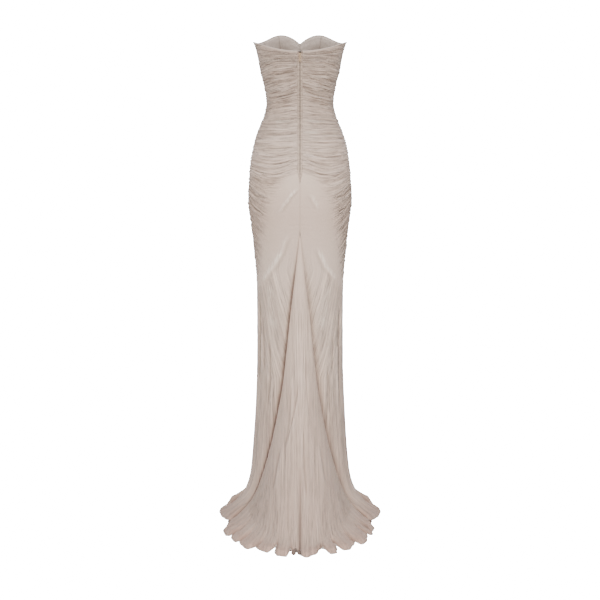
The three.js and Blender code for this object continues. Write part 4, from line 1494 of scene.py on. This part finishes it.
def silk(name, painted_light_tint=(1, 1, 1), crush=1.0, pleat_light_strength=1.0):
    """Crushed and pleated silk chiffon: its tint, painted light above 1 and painted shade below it, how high
    its relief is and how strong its painted streaks are.
    """
    n = Nodes(name)
    inputs = {"Value": n.value("fold"), "From Min": FOLD_RANGE[0], "From Max": FOLD_RANGE[1]}
    fold = n.add("MapRange", inputs).outputs[0]
    height = n.add("SeparateXYZ", {"Vector": n.object_place()}).outputs["Z"]
    ruched = n.value("ruched")
    pleated = n.value("pleated")
    warm, patches = silk_tone(n, fold, height, painted_light_tint)
    coloured = n.blend(pleated, warm, n.blend(1.0, warm, silk_pleat_painted_light(n, pleat_light_strength), "MULTIPLY"))
    crushes = [n.billow(n.cloth_map(which, scale), twist) for which, scale, twist, high in RELIEFS]
    # Painted shade in the valleys of the crush relief and light on its crowns, weaker below the waist
    lines = n.blend(1.0, n.ramp(crushes[0], CRUSH_PAINTED_SHADE), n.ramp(crushes[1], THIN_CRUSH_PAINTED_SHADE), "MULTIPLY")
    inputs = {"Value": height, "From Min": -0.14, "From Max": 0, "To Min": 0.5, "To Max": 0.85}
    strength = n.maths("MULTIPLY", ruched, n.add("MapRange", inputs).outputs[0])
    coloured = n.blend(strength, coloured, n.blend(1.0, coloured, lines, "MULTIPLY"))
    # Painted highlights along the glint lines
    n.put(n.shader, "Base Color", n.blend(silk_glint(n, ruched), coloured, GLINT))
    calm = n.maths("ADD", n.maths("MULTIPLY", ruched, 0.85), 0.15)
    shares = {"gathers": n.maths("MULTIPLY", calm, n.maths("SUBTRACT", 1.0, pleated)), "pleats": pleated}
    relief = None
    for wave, (which, scale, twist, high) in zip(crushes, RELIEFS):
        relief = n.bump(n.maths("MULTIPLY", wave, shares[which]), high * crush, normal=relief)
    relief = n.bump(n.noise(n.object_place(), WEAVE["scale"], 2), WEAVE["height"], 0.5, normal=relief)
    n.put(n.shader, "Normal", relief)
    inputs = {"Value": patches, "To Min": 0.44, "To Max": 0.62}
    n.put(n.shader, "Roughness", n.add("MapRange", inputs).outputs[0])
    n.shader.inputs["Specular IOR Level"].default_value = 0.4
    n.shader.inputs["Sheen Weight"].default_value = 0.2
    n.shader.inputs["Sheen Roughness"].default_value = 0.45
    n.shader.inputs["Sheen Tint"].default_value = (1, 0.94, 0.9, 1)
    return n.material


finish([left_back, right_back, front], silk("silk chiffon"))
# The godet and the facing are painted lighter and the plackets darker: painted light and shade
finish([left_godet, right_godet], silk("godet silk painted lighter", (1.09, 1.07, 1.065), 0.9, 0.3))
finish(plackets, silk("placket silk painted darker", (0.8, 0.785, 0.765), 0.6))
finish([cup_facing], silk("facing silk painted lighter", (1.16, 1.13, 1.11), 0.7))
for piece in (front, left_godet, plackets[0], cup_facing):
    print(piece.name, "is of", piece.data.materials[0].name)

# %% [markdown]
# ## Lining, rolls, thread and metal
#
# The lining is a plain satin, with painted shade in its depth and towards its sides. The rolled edges show
# the small slanting dents of their hand stitches. Thread has a twist, and the stitching beside the zip turns
# from brown at its top to the silk's own colour further down. The slider and the pull are aged brass, and
# the hook and the eye are lacquered wire.

# %% Other finishes


def plain_cloth(name, light, dark, relief=0.0003, shine=0.5):
    """A plain woven cloth, with painted shade where its fold value is low."""
    n = Nodes(name)
    fold = n.add("MapRange", {"Value": n.value("fold"), "From Min": -3, "From Max": 2}).outputs[0]
    patches = n.noise(n.object_place(), 22, 3)
    shade = n.blend(n.maths("MULTIPLY", patches, 0.5), (*light, 1), (*dark, 1))
    n.put(n.shader, "Base Color", n.blend(fold, (*dark, 1), shade))
    warp = n.add(
        "TexWave", {"Vector": n.cloth_map("pleats", (1, 1, 1)), "Scale": 260, "Distortion": 1.5},
        bands_direction="X",
    ).outputs["Fac"]
    soft = n.noise(n.object_place(), 60, 3)
    bumps = n.bump(soft, relief * 4)
    n.put(n.shader, "Normal", n.bump(warp, relief, 0.6, normal=bumps))
    n.put(n.shader, "Roughness", n.maths("ADD", n.maths("MULTIPLY", patches, 0.15), shine - 0.07))
    n.shader.inputs["Sheen Weight"].default_value = 0.15
    return n.material


def cord_cloth(name, light, dark):
    """Chiffon rolled into a cord, with the small slanting dents of its hand stitches."""
    n = Nodes(name)
    patches = n.noise(n.object_place(), 120, 3)
    n.put(n.shader, "Base Color", n.blend(patches, (*dark, 1), (*light, 1)))
    dents = n.noise(n.object_place(), 420, 2)
    n.put(n.shader, "Normal", n.bump(dents, 0.0004))
    n.put(n.shader, "Roughness", n.maths("ADD", n.maths("MULTIPLY", patches, 0.2), 0.45))
    n.shader.inputs["Sheen Weight"].default_value = 0.2
    return n.material


def thread(name, top_colour, low_colour, top, low):
    """Thread that is darker at the top than further down, with a twist."""
    n = Nodes(name)
    height = n.add("SeparateXYZ", {"Vector": n.object_place()}).outputs["Z"]
    share = n.add("MapRange", {"Value": height, "From Min": low, "From Max": top}).outputs[0]
    n.put(n.shader, "Base Color", n.blend(share, (*low_colour, 1), (*top_colour, 1)))
    n.put(n.shader, "Normal", n.bump(n.noise(n.object_place(), 2500, 1), 0.0001))
    n.shader.inputs["Roughness"].default_value = 0.6
    return n.material


def metal(name, colour, dark, roughness, metallic=1.0):
    """Small cast metal, darker and duller in patches where it is handled."""
    n = Nodes(name)
    wear = n.noise(n.object_place(), 380, 4)
    n.put(n.shader, "Base Color", n.blend(wear, (*dark, 1), (*colour, 1)))
    inputs = {"Value": wear, "To Min": roughness + 0.12, "To Max": roughness - 0.06}
    n.put(n.shader, "Roughness", n.add("MapRange", inputs).outputs[0])
    n.shader.inputs["Metallic"].default_value = metallic
    n.put(n.shader, "Normal", n.bump(n.noise(n.object_place(), 1600, 2), 0.00005))
    return n.material

# %% Putting the finishes on
finish(rolls, cord_cloth("rolled silk", (0.62, 0.51, 0.44), (0.46, 0.36, 0.30)))
# The turned ends are coloured dark as painted shade
finish(curls, cord_cloth("turned cloth in painted shade", (0.2, 0.125, 0.095), (0.09, 0.055, 0.04)))
finish([front_lining], plain_cloth("lining satin", (0.56, 0.46, 0.395), (0.28, 0.22, 0.18), 0.00025, 0.42))
finish([zip_tape], plain_cloth("zip_tape", (0.12, 0.08, 0.05), (0.07, 0.045, 0.03), 0.0003, 0.7))
finish([zip_coil], thread("zip_coil", (0.028, 0.018, 0.012), (0.13, 0.09, 0.05), 0.02, -0.2))
finish(seams, thread("top stitching", (0.34, 0.15, 0.05), (0.44, 0.34, 0.26), 0.125, 0.105))
brass = metal("aged brass", (0.37, 0.27, 0.18), (0.15, 0.1, 0.06), 0.34)
black_wire = metal("lacquered wire", (0.03, 0.024, 0.02), (0.012, 0.01, 0.01), 0.35, 0.4)
finish([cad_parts[name] for name in ("zip_slider", "zip_pull")], brass)
finish([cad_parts[name] for name in ("hook", "eye")], black_wire)
print("materials:", len(bpy.data.materials))

# %% [markdown]
# ## Joining the pieces to the frame
#
# Every sheet stands for the solid that has its shape, and rides on the gown's body. The slider, the hook
# and the eye keep their own solids. So does the pull, because it is what moves.

# %% Riding
STANDS_FOR = {
    left_back: "back_panel_left",
    right_back: "back_panel_right",
    left_godet: "godet_left",
    right_godet: "godet_right",
    front: "front_panel",
    front_lining: "front_lining",
    plackets[0]: "placket_left",
    plackets[1]: "placket_right",
    zip_tape: "zip_tape",
    zip_coil: "zip_chain",
}
for piece, node in STANDS_FOR.items():
    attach(piece, "gown")
    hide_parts(node)
for piece in [cup_facing] + rolls + seams + curls:
    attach(piece, "gown")
print("pieces that ride:", len(STANDS_FOR) + 1 + len(rolls) + len(seams) + len(curls))

# %% [markdown]
# ## What each sheet is cut to
#
# Before it is drawn up, a panel lies flat on the cutting table, longer than it hangs: ruching takes up
# nearly a third of its length. The chiffon is measured after pleating. Each row gives width, length and
# area in metres, and how the sheet is held.

# %% Cuts
CUTS = {
    front: (0.80, 1.95, 0.92, "gathered"),
    left_back: (0.26, 1.95, 0.37, "gathered"),
    right_back: (0.26, 1.95, 0.37, "gathered"),
    left_godet: (0.50, 1.08, 0.215, "hung"),
    right_godet: (0.50, 1.08, 0.215, "hung"),
    front_lining: (0.46, 0.10, 0.045, "stretched"),
    cup_facing: (0.46, 0.016, 0.0071, "stretched"),
    plackets[0]: (0.011, 0.42, 0.0044, "stretched"),
    plackets[1]: (0.011, 0.42, 0.0044, "stretched"),
    zip_tape: (0.015, 0.41, 0.0061, "stretched"),
}
for piece, (wide, long, area, held) in CUTS.items():
    drawn_up = sum(face.area for face in piece.data.polygons)
    print(piece.name, round(drawn_up, 4), "of", area, "square metres")

# %% [markdown]
# ## Floor, light and camera
#
# The photo is a shop picture on white, taken from chest height with a long lens and lit softly from the
# camera's side. The floor is a plain pale disc. A broad panel lights the back from above the camera, and
# a weaker one at each side fills the shadows and the train.

# %% Floor
FLOOR_RADIUS = 30
# How bright the floor and the backdrop look, so that they print as the photo's white paper
BACKDROP_WHITE = 24
waist = WAIST_HEIGHT / 1000
bpy.ops.mesh.primitive_circle_add(
    vertices=96, radius=FLOOR_RADIUS, fill_type="NGON", location=(0, 0, -waist),
)
floor = bpy.context.object
floor.name = "floor"
white = Nodes("pale floor")
seen = white.add("LightPath").outputs["Is Camera Ray"]
white.shader.inputs["Base Color"].default_value = (0.85, 0.85, 0.85, 1)
white.shader.inputs["Emission Color"].default_value = (1, 1, 1, 1)
white.put(white.shader, "Emission Strength", white.maths("MULTIPLY", seen, BACKDROP_WHITE))
white.shader.inputs["Roughness"].default_value = 1
white.shader.inputs["Specular IOR Level"].default_value = 0
finish([floor], white.material)
print("floor:", waist, "metres under the waist")

# %% Camera
CAMERA_AWAY = 4.2
CAMERA_HEIGHT = 1.0
CAMERA_TILT = math.radians(4.6)
LENS = {"focal": 80, "sensor": 36}
camera_data = bpy.data.cameras.new("camera")
camera_data.lens = LENS["focal"]
camera_data.sensor_width = LENS["sensor"]
camera = bpy.data.objects.new("camera", camera_data)
camera.location = (0, CAMERA_AWAY, CAMERA_HEIGHT - waist)
camera.rotation_euler = (math.pi / 2 - CAMERA_TILT, 0, math.pi)
bpy.context.scene.collection.objects.link(camera)
bpy.context.scene.camera = camera
print("camera:", CAMERA_AWAY, "metres behind the gown")

# %% Lamps
# Name, place, what it points at, size in metres and power in watts
LAMPS = [
    ("key", (0.5, 3.4, 1.7), (0, 0, -0.3), 1.3, 150),
    ("fill", (-2.2, 2.8, 0.5), (0, 0, -0.4), 1.5, 40),
    ("low", (0.8, 3.6, -0.6), (0, 0, -0.9), 1.2, 30),
]


def lamp(name, place, aim, size, power):
    data = bpy.data.lights.new(name, "AREA")
    data.size = size
    data.energy = power
    light = bpy.data.objects.new(name, data)
    light.location = place
    away = np.array(place) - np.array(aim)
    tilt = math.atan2(math.hypot(away[0], away[1]), away[2])
    light.rotation_euler = (tilt, 0, math.atan2(away[0], -away[1]))
    bpy.context.scene.collection.objects.link(light)


for one in LAMPS:
    lamp(*one)
print("lamps:", len(LAMPS))

# %% World
SKY = 0.62  # strength of the even light from all round
world = bpy.data.worlds.new("studio")
world.use_nodes = True
tree = world.node_tree
tree.nodes["Background"].inputs["Strength"].default_value = SKY
backdrop = tree.nodes.new("ShaderNodeBackground")
backdrop.inputs["Strength"].default_value = BACKDROP_WHITE
for background in (tree.nodes["Background"], backdrop):
    background.inputs["Color"].default_value = (1, 1, 1, 1)
choice = tree.nodes.new("ShaderNodeMixShader")
tree.links.new(tree.nodes.new("ShaderNodeLightPath").outputs["Is Camera Ray"], choice.inputs[0])
tree.links.new(tree.nodes["Background"].outputs[0], choice.inputs[1])
tree.links.new(backdrop.outputs[0], choice.inputs[2])
tree.links.new(choice.outputs[0], tree.nodes["World Output"].inputs["Surface"])
bpy.context.scene.world = world
print("world:", world.name)
